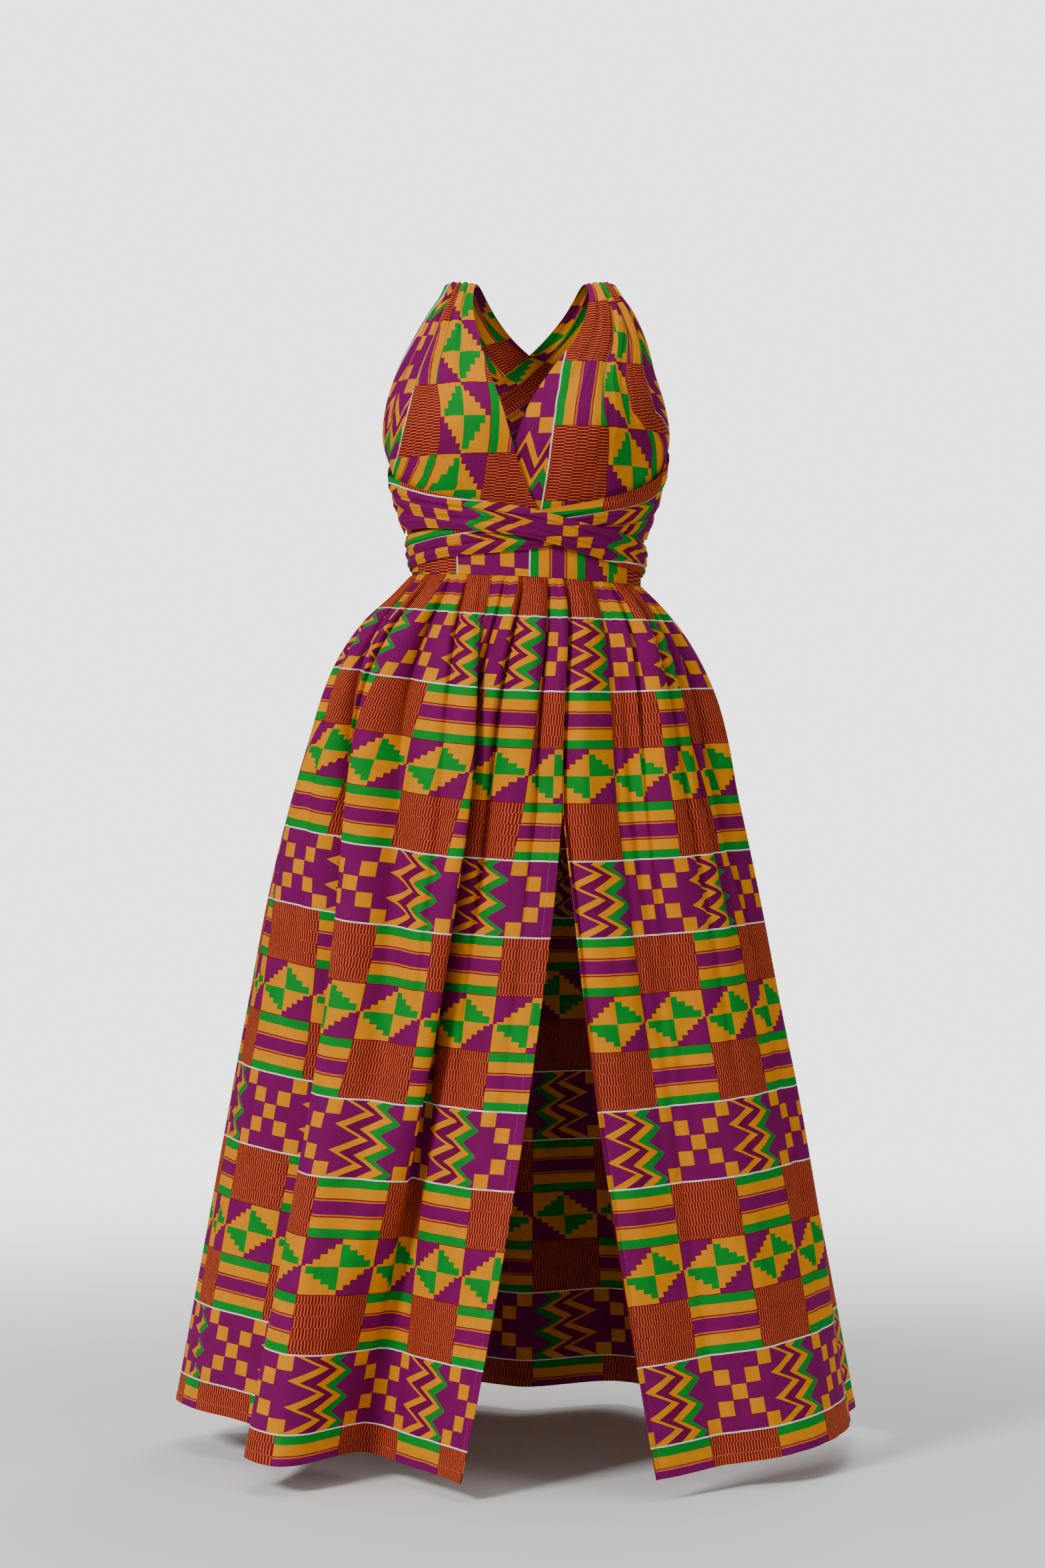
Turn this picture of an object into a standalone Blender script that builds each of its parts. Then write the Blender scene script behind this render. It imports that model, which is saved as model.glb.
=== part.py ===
"""Wrap dress in kente print cotton, hollow, in the form it has when worn.

The straps rise from the waist over the bust and the shoulders, cross behind, come round the waist,
cross again in front and are knotted at the back. The skirt is gathered to a waistband and is slit
below a centre front seam. Metres, +Z up, front towards -Y, the wearer's left towards +X. The
origin is on the mid-plane, where the straps rest on the shoulders.
"""
import math

import bpy
import numpy as np

# Cloth
CLOTH = 0.0013          # wall of one layer
BAND_CLOTH = 0.0015     # wall of the waistband, two layers pressed together
SEAM = 0.0003           # gap between two pieces that are sewn together

# Skirt, cut across the cloth, from the slit edge on the wearer's left round the back
FRONT_LEFT_CUT = 0.44
BACK_CUT = 1.30
FRONT_RIGHT_CUT = 0.60
LEFT_SEAM = FRONT_LEFT_CUT
RIGHT_SEAM = FRONT_LEFT_CUT + BACK_CUT
SKIRT_CUT = FRONT_LEFT_CUT + BACK_CUT + FRONT_RIGHT_CUT
SKIRT_RUN = 1.077       # waist seam to hem, along the cloth
SLIT_RUN = 0.293        # waist seam to the top of the slit
WAIST_HEIGHT = -0.368
WAIST_TILT = -0.05      # the waist seam falls this much for each metre towards the wearer's left
WAIST_SEAMS = (17.8, 100.0, 268.0, 377.8)   # angles of slit edge, left seam, right seam, slit edge
GATHERS = 40
GATHER_SPREAD = 0.55    # how far the cloth between two gathers opens out on their crests
LAP_PLACE = 2.135       # middle of the fold that laps over in front, where the gathers are weaker
LAP_WIDTH = 0.05
LAP_CALM = 0.9
CLOTH_STEP = SKIRT_CUT / (4 * GATHERS)
NORMAL_STEP = 0.006     # step over which the direction of the cloth is taken
SKIRT_RUNS = (0.0, 0.012, 0.035, 0.07, 0.12, 0.19, SLIT_RUN, 0.41, 0.56, 0.72, 0.90, SKIRT_RUN)

# Skirt section by its run below the waist: height and half size of each quarter
SKIRT_PROFILE = {
    "run":         (0.000, 0.030, 0.080, 0.150, 0.250, 0.400, 0.600, 0.800, 1.077),
    "front":       (0.107, 0.122, 0.138, 0.152, 0.168, 0.191, 0.222, 0.251, 0.290),
    "front_drop":  (0.000, 0.026, 0.074, 0.143, 0.242, 0.390, 0.588, 0.785, 1.059),
    "back":        (0.097, 0.116, 0.141, 0.163, 0.182, 0.203, 0.232, 0.261, 0.300),
    "back_drop":   (0.000, 0.024, 0.068, 0.135, 0.233, 0.382, 0.579, 0.777, 1.051),
    "left":        (0.142, 0.162, 0.192, 0.221, 0.248, 0.283, 0.322, 0.357, 0.401),
    "left_drop":   (0.000, 0.023, 0.063, 0.127, 0.223, 0.369, 0.565, 0.762, 1.036),
    "right":       (0.142, 0.160, 0.195, 0.233, 0.268, 0.308, 0.345, 0.378, 0.421),
    "right_drop":  (0.000, 0.024, 0.060, 0.119, 0.213, 0.358, 0.554, 0.751, 1.025),
}
TILT_FADE = 0.9         # run over which the tilt of the waist seam dies out

# Gathers: height of their crests by the run below the waist
GATHER_HEIGHT = {
    "run":    (0.000, 0.012, 0.035, 0.070, 0.120, 0.190, 0.280, 0.400, 0.540, 0.700, 1.077),
    "height": (0.0016, 0.0028, 0.0045, 0.0058, 0.0060, 0.0052, 0.0040, 0.0024, 0.0010, 0.000, 0.000),
}

# Large folds. Each row is a line down the skirt at a place along the cut cloth, with its angle
# round the figure (0 in front, 90 at the wearer's left) and its lift off the plain section at
# three levels. The slit columns are what the open slit adds at the hem.
FOLD_LEVELS = (0.0, 0.15, 0.45, SKIRT_RUN)
FOLD_COLUMNS = ("place", "hip_angle", "hip_lift", "mid_angle", "mid_lift",
                "hem_angle", "hem_lift", "slit_angle", "slit_lift")
LEFT_FOLDS = (
    (0.000, 11.0, 0.003, 8.0, 0.004, 5.0, 0.010, 15.5, 0.025),
    (0.060, 21.0, 0.004, 18.0, 0.004, 17.0, 0.010, 9.5, 0.010),
    (0.105, 31.0, -0.004, 27.0, -0.003, 26.0, 0.006, 7.0, 0.000),
    (0.125, 34.0, -0.010, 30.0, -0.009, 30.5, 0.003, 5.0, 0.000),
    (0.145, 37.0, 0.000, 33.0, -0.002, 35.0, 0.008, 3.5, 0.000),
    (0.200, 47.0, 0.006, 45.0, 0.004, 46.0, 0.018, 2.0, 0.000),
    (0.280, 63.0, -0.003, 63.0, 0.000, 63.0, 0.014, 0.0, 0.000),
    (0.360, 79.0, 0.004, 79.0, 0.003, 76.0, 0.006, 0.0, 0.000),
)
BACK_FOLDS = (
    (0.440, 97.0, 0.000, 95.0, 0.000, 90.0, 0.000, 0.0, 0.000),
    (0.540, 110.0, 0.006, 108.0, 0.010, 104.0, 0.024, 0.0, 0.000),
    (0.640, 123.0, -0.007, 121.0, -0.014, 118.0, -0.022, 0.0, 0.000),
    (0.750, 137.0, 0.007, 135.0, 0.012, 134.0, 0.034, 0.0, 0.000),
    (0.860, 151.0, -0.006, 150.0, -0.013, 149.0, -0.030, 0.0, 0.000),
    (0.970, 165.0, 0.007, 165.0, 0.014, 164.0, 0.022, 0.0, 0.000),
    (1.080, 179.0, -0.008, 180.0, -0.015, 180.0, -0.028, 0.0, 0.000),
    (1.190, 193.0, 0.007, 194.0, 0.013, 195.0, 0.036, 0.0, 0.000),
    (1.300, 207.0, -0.006, 209.0, -0.012, 210.0, -0.018, 0.0, 0.000),
    (1.410, 222.0, 0.008, 224.0, 0.014, 225.0, 0.024, 0.0, 0.000),
    (1.520, 236.0, -0.007, 238.0, -0.013, 240.0, -0.034, 0.0, 0.000),
    (1.630, 251.0, 0.006, 254.0, 0.010, 256.0, 0.026, 0.0, 0.000),
)
RIGHT_FOLDS = (
    (1.740, 269.0, 0.000, 271.0, 0.000, 272.0, 0.000, 0.0, 0.000),
    (1.800, 285.0, 0.004, 298.0, -0.010, 289.0, -0.045, 0.0, 0.000),
    (1.853, 296.0, -0.006, 312.0, -0.035, 302.0, -0.055, 0.0, 0.000),
    (1.885, 300.0, -0.008, 317.0, -0.035, 308.0, -0.030, 0.0, 0.000),
    (1.915, 303.0, 0.000, 316.5, -0.012, 312.0, 0.015, 0.0, 0.000),
    (1.943, 306.0, 0.008, 315.0, 0.012, 314.0, 0.050, 0.0, 0.000),
    (1.970, 311.0, 0.008, 320.0, 0.020, 319.0, 0.062, 0.0, 0.000),
    (2.020, 320.5, -0.012, 330.0, -0.005, 323.0, 0.045, 0.0, 0.000),
    (2.090, 340.0, 0.012, 340.5, 0.025, 326.0, -0.035, -1.0, 0.000),
    (2.119, 345.5, 0.010, 344.5, 0.018, 327.5, -0.065, -1.5, 0.000),
    (2.145, 344.5, 0.000, 343.0, -0.005, 330.0, -0.077, -2.5, 0.000),
    (2.175, 343.5, -0.014, 341.0, -0.030, 336.0, -0.074, -4.0, 0.000),
    (2.204, 346.5, -0.008, 344.5, -0.018, 343.0, -0.052, -5.5, 0.000),
    (2.260, 357.5, 0.004, 354.0, 0.000, 354.5, -0.012, -9.5, 0.000),
    (2.340, 371.0, 0.003, 368.0, 0.004, 365.0, 0.010, -15.0, 0.020),
)

# Pocket in the left side seam
POCKET_MOUTH = (0.065, 0.225)   # run below the waist where the seam is left open
POCKET_PART = 0.0022            # how far the lips of the mouth stand apart
POCKET_WALL = 0.0024            # two layers of cloth
POCKET_DEPTH = 0.018            # how far inside the skirt the bag hangs
POCKET_GAP = 0.0004             # between the skirt and the edge of the bag
POCKET_ANGLE = 96.0             # where the bag starts, round the figure
POCKET_SWEEP = 32.0             # degrees that the bag reaches forward of the seam
POCKET_TURN = 0.4               # share of its width in which the bag leaves the seam
POCKET_BAG_RISE = 0.012         # how far the bag reaches above its mouth
POCKET_BAG_CORNER = 0.040       # how much shorter the bag is at its far edge
POCKET_BAG_DROP = 0.085         # how far the bag hangs below its mouth
POCKET_GRID = (9, 8)            # steps down and across

# General figure that the cloth lies on, by the run down from the ridge of the shoulders
FIGURE = {
    "run":   (0.000, 0.020, 0.045, 0.075, 0.115, 0.160, 0.205, 0.245, 0.285, 0.325, 0.370, 0.420, 0.450),
    "drop":  (0.000, 0.005, 0.019, 0.041, 0.074, 0.114, 0.156, 0.195, 0.235, 0.275, 0.320, 0.370, 0.400),
    "side":  (0.126, 0.128, 0.132, 0.140, 0.153, 0.165, 0.175, 0.177, 0.168, 0.156, 0.145, 0.141, 0.143),
    "front": (0.000, 0.019, 0.040, 0.059, 0.078, 0.096, 0.110, 0.116, 0.112, 0.107, 0.105, 0.106, 0.108),
    "back":  (0.000, 0.019, 0.040, 0.060, 0.078, 0.091, 0.099, 0.100, 0.097, 0.094, 0.094, 0.096, 0.098),
}
ARCH = 0.05             # the run over the arch of the shoulder is this much longer than its drop
BUST_REACH = 0.028
BUST_PLACE = (0.085, -0.190)
BUST_SPREAD = 0.062

# Waistband
BAND_TOP = 0.300        # below the origin
BAND_LIFT = 0.0015      # outer face off the figure
BAND_STEPS = 60

# Front panels of the straps, from the waistband to the ridge of the shoulders. The near edge is
# the one at the neckline and the far edge the one at the armhole.
PANEL_COLUMNS = ("near_angle", "near_run", "far_angle", "far_run", "near_lift", "far_lift", "pleat")
RIGHT_PANEL = (
    (8.0, 0.350, -76.0, 0.350, 0.0060, 0.0020, 0.0020),
    (3.0, 0.325, -77.0, 0.325, 0.0062, 0.0022, 0.0024),
    (-3.0, 0.285, -77.0, 0.285, 0.0062, 0.0026, 0.0026),
    (-7.0, 0.245, -82.0, 0.245, 0.0052, 0.0030, 0.0026),
    (-10.8, 0.205, -80.0, 0.205, 0.0042, 0.0030, 0.0026),
    (-16.5, 0.160, -75.0, 0.160, 0.0032, 0.0030, 0.0026),
    (-22.0, 0.115, -66.0, 0.115, 0.0026, 0.0028, 0.0026),
    (-27.5, 0.075, -60.0, 0.075, 0.0024, 0.0026, 0.0026),
    (-30.0, 0.040, -54.0, 0.040, 0.0022, 0.0024, 0.0024),
    (-29.5, 0.00015, -52.5, 0.00015, 0.0022, 0.0022, 0.0024),
)
LEFT_PANEL = (
    (-12.0, 0.350, 80.0, 0.350, 0.0015, 0.0020, 0.0020),
    (-9.6, 0.325, 80.0, 0.325, 0.0015, 0.0022, 0.0024),
    (-6.3, 0.285, 80.0, 0.285, 0.0015, 0.0024, 0.0026),
    (-3.4, 0.245, 81.0, 0.245, 0.0015, 0.0028, 0.0026),
    (1.8, 0.205, 76.0, 0.205, 0.0017, 0.0028, 0.0026),
    (11.2, 0.160, 72.0, 0.160, 0.0020, 0.0028, 0.0026),
    (23.5, 0.115, 74.0, 0.115, 0.0022, 0.0026, 0.0026),
    (31.5, 0.075, 73.0, 0.075, 0.0022, 0.0024, 0.0026),
    (36.0, 0.040, 64.0, 0.040, 0.0022, 0.0022, 0.0024),
    (34.8, 0.00015, 59.0, 0.00015, 0.0022, 0.0022, 0.0024),
)
PANEL_PLEATS = 5
PANEL_GRID = (20, 15)   # steps along and across

# Back straps, from the ridge down across the back to the other side of the waist. Runs behind the
# ridge are negative. The near edge starts at the neck and becomes the upper one.
RIGHT_STRAP = (
    (-29.5, -0.00015, -52.5, -0.00015, 0.0022, 0.0022, 0.0024),
    (-20.0, -0.050, -46.0, -0.060, 0.0044, 0.0036, 0.0026),
    (-6.0, -0.100, -35.0, -0.125, 0.0080, 0.0070, 0.0026),
    (12.0, -0.145, -14.0, -0.195, 0.0084, 0.0084, 0.0026),
    (33.0, -0.185, 12.0, -0.250, 0.0074, 0.0080, 0.0026),
    (55.0, -0.218, 40.0, -0.300, 0.0048, 0.0052, 0.0026),
    (74.0, -0.246, 67.0, -0.342, 0.0036, 0.0038, 0.0028),
    (89.93, -0.262, 89.93, -0.365, 0.0040, 0.0040, 0.0028),
)
LEFT_STRAP = (
    (34.8, -0.00015, 59.0, -0.00015, 0.0022, 0.0022, 0.0024),
    (24.0, -0.050, 51.0, -0.060, 0.0024, 0.0024, 0.0026),
    (8.0, -0.100, 38.0, -0.125, 0.0024, 0.0024, 0.0026),
    (-11.0, -0.150, 16.0, -0.195, 0.0024, 0.0024, 0.0026),
    (-32.0, -0.195, -11.0, -0.250, 0.0024, 0.0024, 0.0026),
    (-54.0, -0.232, -40.0, -0.298, 0.0028, 0.0030, 0.0028),
    (-73.0, -0.264, -67.0, -0.334, 0.0032, 0.0034, 0.0028),
    (-89.93, -0.282, -89.93, -0.348, 0.0040, 0.0040, 0.0028),
)
STRAP_PLEATS = 4
STRAP_GRID = (18, 12)

# Waist wraps: angle, then depth below the origin and lift of the upper and the lower edge
WRAP_COLUMNS = ("angle", "top", "bottom", "top_lift", "bottom_lift", "pleat")
OVER_WRAP = (
    (-89.93, 0.232, 0.298, 0.0040, 0.0040, 0.0028),
    (-81.0, 0.236, 0.296, 0.0066, 0.0066, 0.0028),
    (-68.0, 0.242, 0.294, 0.0092, 0.0092, 0.0028),
    (-45.0, 0.260, 0.303, 0.0106, 0.0116, 0.0030),
    (-22.0, 0.272, 0.313, 0.0156, 0.0146, 0.0030),
    (0.0, 0.284, 0.321, 0.0196, 0.0156, 0.0030),
    (30.0, 0.304, 0.341, 0.0181, 0.0081, 0.0030),
    (60.0, 0.318, 0.356, 0.0116, 0.0042, 0.0028),
    (89.93, 0.330, 0.363, 0.0050, 0.0038, 0.0026),
)
UNDER_WRAP = (
    (-89.93, 0.313, 0.355, 0.0040, 0.0038, 0.0026),
    (-60.0, 0.309, 0.348, 0.0042, 0.0040, 0.0028),
    (-45.0, 0.306, 0.343, 0.0056, 0.0042, 0.0028),
    (-22.0, 0.300, 0.340, 0.0102, 0.0044, 0.0028),
    (0.0, 0.290, 0.336, 0.0122, 0.0048, 0.0028),
    (30.0, 0.273, 0.326, 0.0106, 0.0058, 0.0028),
    (60.0, 0.250, 0.322, 0.0092, 0.0052, 0.0028),
    (75.0, 0.228, 0.318, 0.0088, 0.0056, 0.0028),
    (89.93, 0.212, 0.315, 0.0040, 0.0040, 0.0028),
)
OVER_WRAP_BACK = (
    (89.93, 0.330, 0.363, 0.0050, 0.0038, 0.0026),
    (60.0, 0.326, 0.361, 0.0046, 0.0038, 0.0028),
    (30.0, 0.312, 0.352, 0.0046, 0.0040, 0.0030),
    (1.5, 0.298, 0.340, 0.0048, 0.0042, 0.0030),
)
UNDER_WRAP_BACK = (
    (-89.93, 0.313, 0.355, 0.0040, 0.0038, 0.0026),
    (-60.0, 0.317, 0.357, 0.0046, 0.0038, 0.0028),
    (-30.0, 0.308, 0.350, 0.0046, 0.0040, 0.0030),
    (-1.5, 0.298, 0.340, 0.0048, 0.0042, 0.0030),
)
WRAP_PLEATS = 3
WRAP_CROWN = 0.0012
WRAP_GRID = (36, 6)
BACK_WRAP_GRID = (18, 6)

# Knot and tails at the back of the waist
KNOT_HEIGHT = -0.319
KNOT_SIZE = (0.031, 0.016, 0.026)   # half width, half depth, half height
KNOT_FOLDS = 5
KNOT_FOLD_DEPTH = 0.10
KNOT_GRID = (10, 20)
KNOT_GAP = 0.0003
TAIL_COLUMNS = ("drop", "centre", "half_width", "off", "pleat")
TAIL = (
    (0.000, 0.010, 0.009, 0.0235, 0.0010),
    (0.020, 0.013, 0.013, 0.0180, 0.0020),
    (0.050, 0.019, 0.019, 0.0145, 0.0030),
    (0.090, 0.026, 0.023, 0.0130, 0.0036),
    (0.140, 0.034, 0.027, 0.0130, 0.0040),
    (0.190, 0.040, 0.030, 0.0130, 0.0042),
)
TAIL_SPLIT = 0.0012     # least gap between the two tails
TAIL_PLEATS = 3
TAIL_GRID = (10, 9)

GOLD = (0.95, 0.42, 0.02, 1.0)
PURPLE = (0.20, 0.02, 0.16, 1.0)
GREEN = (0.00, 0.27, 0.06, 1.0)
MAROON = (0.28, 0.03, 0.03, 1.0)
CLOTH_ROUGHNESS = 0.75


def clear_scene():
    """Remove every object that is already in the scene."""
    for thing in list(bpy.data.objects):
        bpy.data.objects.remove(thing, do_unlink=True)


def through(places, values, at):
    """Smooth curve through the rows of a table: cubic, with the slope of its neighbours."""
    places = np.asarray(places, float)
    values = np.asarray(values, float)
    step = np.diff(places)
    rise = np.diff(values, axis=0) / step.reshape((-1,) + (1,) * (values.ndim - 1))
    slope = np.concatenate([rise[:1], (rise[:-1] + rise[1:]) / 2, rise[-1:]])
    at = np.clip(np.asarray(at, float), places[0], places[-1])
    row = np.clip(np.searchsorted(places, at) - 1, 0, len(step) - 1)
    wide = step[row]
    part = (at - places[row]) / wide
    spare = (1,) * (values.ndim - 1)
    wide = wide.reshape(wide.shape + spare)
    part = part.reshape(part.shape + spare)
    start = (1 + 2 * part) * (1 - part) ** 2 * values[row]
    start = start + part * (1 - part) ** 2 * wide * slope[row]
    end = part ** 2 * (3 - 2 * part) * values[row + 1]
    end = end + part ** 2 * (part - 1) * wide * slope[row + 1]
    return start + end


def unit(vectors):
    """Vectors of length one."""
    return vectors / np.linalg.norm(vectors, axis=-1, keepdims=True)


def skirt_section(angle, run):
    """Plain section of the skirt, an ellipse in each quarter, and its outward direction."""
    size = {key: through(SKIRT_PROFILE["run"], column, run)
            for key, column in SKIRT_PROFILE.items() if key != "run"}
    turn = np.radians(angle)
    sine, cosine = np.sin(turn), np.cos(turn)
    side = np.where(sine > 0, size["left"], size["right"])
    side_drop = np.where(sine > 0, size["left_drop"], size["right_drop"])
    depth = np.where(cosine > 0, size["front"], size["back"])
    depth_drop = np.where(cosine > 0, size["front_drop"], size["back_drop"])
    drop = side_drop * sine ** 2 + depth_drop * cosine ** 2
    x = side * sine
    tilt = WAIST_TILT * x * np.clip(1 - run / TILT_FADE, 0, 1)
    points = np.stack([x, -depth * cosine, WAIST_HEIGHT - drop + tilt], axis=-1)
    outward = unit(np.stack([sine / side, -cosine / depth, 0 * sine], axis=-1))
    return points, outward


def skirt_folds(place, run):
    """Large folds of the skirt, without its gathers, and the outward direction of the section."""
    folds = np.array(LEFT_FOLDS + BACK_FOLDS + RIGHT_FOLDS)
    column = {name: folds[:, number] for number, name in enumerate(FOLD_COLUMNS)}
    seams = (0.0, LEFT_SEAM, RIGHT_SEAM, SKIRT_CUT)
    waist_angle = np.interp(column["place"], seams, WAIST_SEAMS)
    angles = (waist_angle, column["hip_angle"], column["mid_angle"], column["hem_angle"])
    lifts = (0 * waist_angle, column["hip_lift"], column["mid_lift"], column["hem_lift"])
    angle, lift = np.empty_like(place), np.empty_like(place)
    for row in range(len(place)):
        level = run[row, :1]
        opened = np.clip((level - SLIT_RUN) / (SKIRT_RUN - SLIT_RUN), 0, 1)
        row_angle = through(FOLD_LEVELS, angles, level)[0] + opened * column["slit_angle"]
        row_lift = through(FOLD_LEVELS, lifts, level)[0] + opened * column["slit_lift"]
        angle[row] = through(column["place"], row_angle, place[row])
        lift[row] = through(column["place"], row_lift, place[row])
    points, outward = skirt_section(angle, run)
    return points + outward * lift[..., None], outward


def skirt_points(place, run):
    """Cloth of the skirt at a place along its cut and a run below the waist."""
    points, outward = skirt_folds(place, run)
    middle = np.clip(place, NORMAL_STEP, SKIRT_CUT - NORMAL_STEP)
    along = skirt_folds(middle + NORMAL_STEP, run)[0] - skirt_folds(middle - NORMAL_STEP, run)[0]
    along = along / (2 * NORMAL_STEP)
    height = through(GATHER_HEIGHT["run"], GATHER_HEIGHT["height"], run)
    height = height * (1 - LAP_CALM * np.exp(-((place - LAP_PLACE) / LAP_WIDTH) ** 2))
    spread = GATHER_SPREAD * height / np.max(GATHER_HEIGHT["height"]) * SKIRT_CUT / (2 * np.pi * GATHERS)
    phase = 2 * np.pi * GATHERS * place / SKIRT_CUT
    points = points + outward * (height * np.cos(phase))[..., None]
    return points + along * (spread * np.sin(phase))[..., None]


def skirt_normals(place, run):
    """Outward normals of the cloth, from small steps along it and down it."""
    across = skirt_points(place + NORMAL_STEP, run) - skirt_points(place - NORMAL_STEP, run)
    low, high = np.minimum(run + NORMAL_STEP, SKIRT_RUN), np.maximum(run - NORMAL_STEP, 0)
    down = skirt_points(place, low) - skirt_points(place, high)
    return unit(np.cross(down, across))


def skirt_panel(first, last):
    """Points and normals of one panel, its side edges half a seam inside the sewing lines."""
    steps = round((last - first) / CLOTH_STEP)
    places = np.linspace(first, last, steps + 1)
    run, place = np.meshgrid(SKIRT_RUNS, places, indexing="ij")
    points = skirt_points(place, run)
    normals = grid_normals(points)
    for edge in (0, -1):
        normals[:, edge] = skirt_normals(place[:, [edge]], run[:, [edge]])[:, 0]
    points[0, :, 2] -= SEAM
    first_way = unit(skirt_points(place + SEAM, run)[:, 0] - skirt_points(place, run)[:, 0])
    last_way = unit(skirt_points(place - SEAM, run)[:, -1] - skirt_points(place, run)[:, -1])
    points[:, 0] += first_way * SEAM / 2
    points[:, -1] += last_way * SEAM / 2
    if last == LEFT_SEAM:
        mouth = (run[:, 0] - POCKET_MOUTH[0]) / (POCKET_MOUTH[1] - POCKET_MOUTH[0])
        points[:, -1] += last_way * POCKET_PART * np.sin(np.pi * np.clip(mouth, 0, 1))[:, None]
    return points, normals


def figure(angle, run):
    """Point of the general figure; run is positive in front and negative behind the ridge."""
    runs = np.array(FIGURE["run"])
    both = np.concatenate([-runs[:0:-1], runs])
    drop = np.concatenate([FIGURE["drop"][:0:-1], FIGURE["drop"]])
    side = np.concatenate([FIGURE["side"][:0:-1], FIGURE["side"]])
    depth = np.concatenate([-np.array(FIGURE["back"][:0:-1]), FIGURE["front"]])
    turn = np.radians(angle)
    x = through(both, side, run) * np.sin(turn)
    z = -through(both, drop, run)
    y = -through(both, depth, run) * np.cos(turn)
    apart = ((np.abs(x) - BUST_PLACE[0]) ** 2 + (z - BUST_PLACE[1]) ** 2) / BUST_SPREAD ** 2
    y = y - BUST_REACH * np.exp(-apart) * np.cos(turn) * np.clip(run / ARCH, 0, 1)
    return np.stack([x, y, z], axis=-1)


def figure_outward(angle, run):
    """Outward direction of the figure, from small steps each way."""
    turn_step, run_step = 0.2, 0.0004
    across = figure(angle + turn_step, run) - figure(angle - turn_step, run)
    down = figure(angle, run + run_step) - figure(angle, run - run_step)
    return unit(np.cross(down, across))


def grid_normals(points):
    """Directions square to a grid."""
    return unit(np.cross(np.gradient(points, axis=0), np.gradient(points, axis=1)))


def table_values(rows, columns, steps):
    """The columns of a table read at even steps from its first row to its last."""
    stations = np.linspace(0, len(rows) - 1, steps + 1)
    values = through(np.arange(len(rows)), np.array(rows), stations)
    return {name: values[:, number, None] for number, name in enumerate(columns)}


def pleat_wave(part, count):
    """Lengthwise pleats across a strip: none at its edges, full height inside."""
    edge = np.clip(np.minimum(part, 1 - part) * 4, 0, 1)
    return edge * (0.5 - 0.5 * np.cos(2 * np.pi * count * part))


def strip_on_figure(rows, columns, grid, pleats, crown=0.0):
    """Points and directions of a strip whose two edges follow a table on the figure."""
    value = table_values(rows, columns, grid[0])
    part = np.linspace(0, 1, grid[1] + 1)[None, :]
    angle = value["near_angle"] * (1 - part) + value["far_angle"] * part
    run = value["near_run"] * (1 - part) + value["far_run"] * part
    lift = value["near_lift"] * (1 - part) + value["far_lift"] * part
    lift = lift + value["pleat"] * pleat_wave(part, pleats) + crown * 4 * part * (1 - part)
    outward = figure_outward(angle, run)
    return figure(angle, run) + outward * lift[..., None], outward


def wrap_strip(rows, grid, behind=False):
    """A wrap round the waist; its run is its depth below the origin and the arch."""
    way = -1 if behind else 1
    table = [(angle, way * (top + ARCH), angle, way * (bottom + ARCH), top_lift, bottom_lift, pleat)
             for angle, top, bottom, top_lift, bottom_lift, pleat in rows]
    return strip_on_figure(table, PANEL_COLUMNS, grid, WRAP_PLEATS, WRAP_CROWN)


def band_ring():
    """Closed ring of the waistband, level above and along the tilted waist seam below."""
    angle = np.linspace(0, 360, BAND_STEPS, endpoint=False)
    behind = np.cos(np.radians(angle)) < 0
    turned = np.where(behind, 180 - angle, angle)
    way = np.where(behind, -1.0, 1.0)
    side = through(FIGURE["run"], FIGURE["side"], ARCH - WAIST_HEIGHT)
    low = -WAIST_HEIGHT - WAIST_TILT * side * np.sin(np.radians(angle))
    points, directions = [], []
    for depth in (BAND_TOP + SEAM, (BAND_TOP - WAIST_HEIGHT) / 2, low):
        run = way * (depth + ARCH)
        outward = figure_outward(turned, run)
        points.append(figure(turned, run) + outward * BAND_LIFT)
        directions.append(outward)
    return np.array(points), np.array(directions)


def back_depth(height):
    """How far back the plain figure, or the plain skirt below the waist, stands at a height."""
    figure_rows = [row for row, drop in enumerate(FIGURE["drop"]) if 0.2 < drop < -WAIST_HEIGHT]
    drops = [FIGURE["drop"][row] for row in figure_rows]
    drops += [drop - WAIST_HEIGHT for drop in SKIRT_PROFILE["back_drop"]]
    depths = [FIGURE["back"][row] for row in figure_rows] + list(SKIRT_PROFILE["back"])
    return np.interp(-height, drops, depths)


def tail_strip(way):
    """One tail of the knot; way is 1 on the wearer's left and -1 on the right."""
    value = table_values(TAIL, TAIL_COLUMNS, TAIL_GRID[0])
    part = np.linspace(0, 1, TAIL_GRID[1] + 1)[None, :]
    inner = np.maximum(value["centre"] - value["half_width"], TAIL_SPLIT / 2)
    x = way * (inner + 2 * value["half_width"] * part)
    under = KNOT_SIZE[2] * np.sqrt(1 - (x[:1] / KNOT_SIZE[0]) ** 2)
    z = KNOT_HEIGHT - under - KNOT_GAP - value["drop"]
    y = back_depth(z) + value["off"] + value["pleat"] * pleat_wave(part, TAIL_PLEATS)
    points = np.stack([x, y, z], axis=-1)
    normals = grid_normals(points)
    return points, normals * np.sign(normals[..., 1:2])


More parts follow.
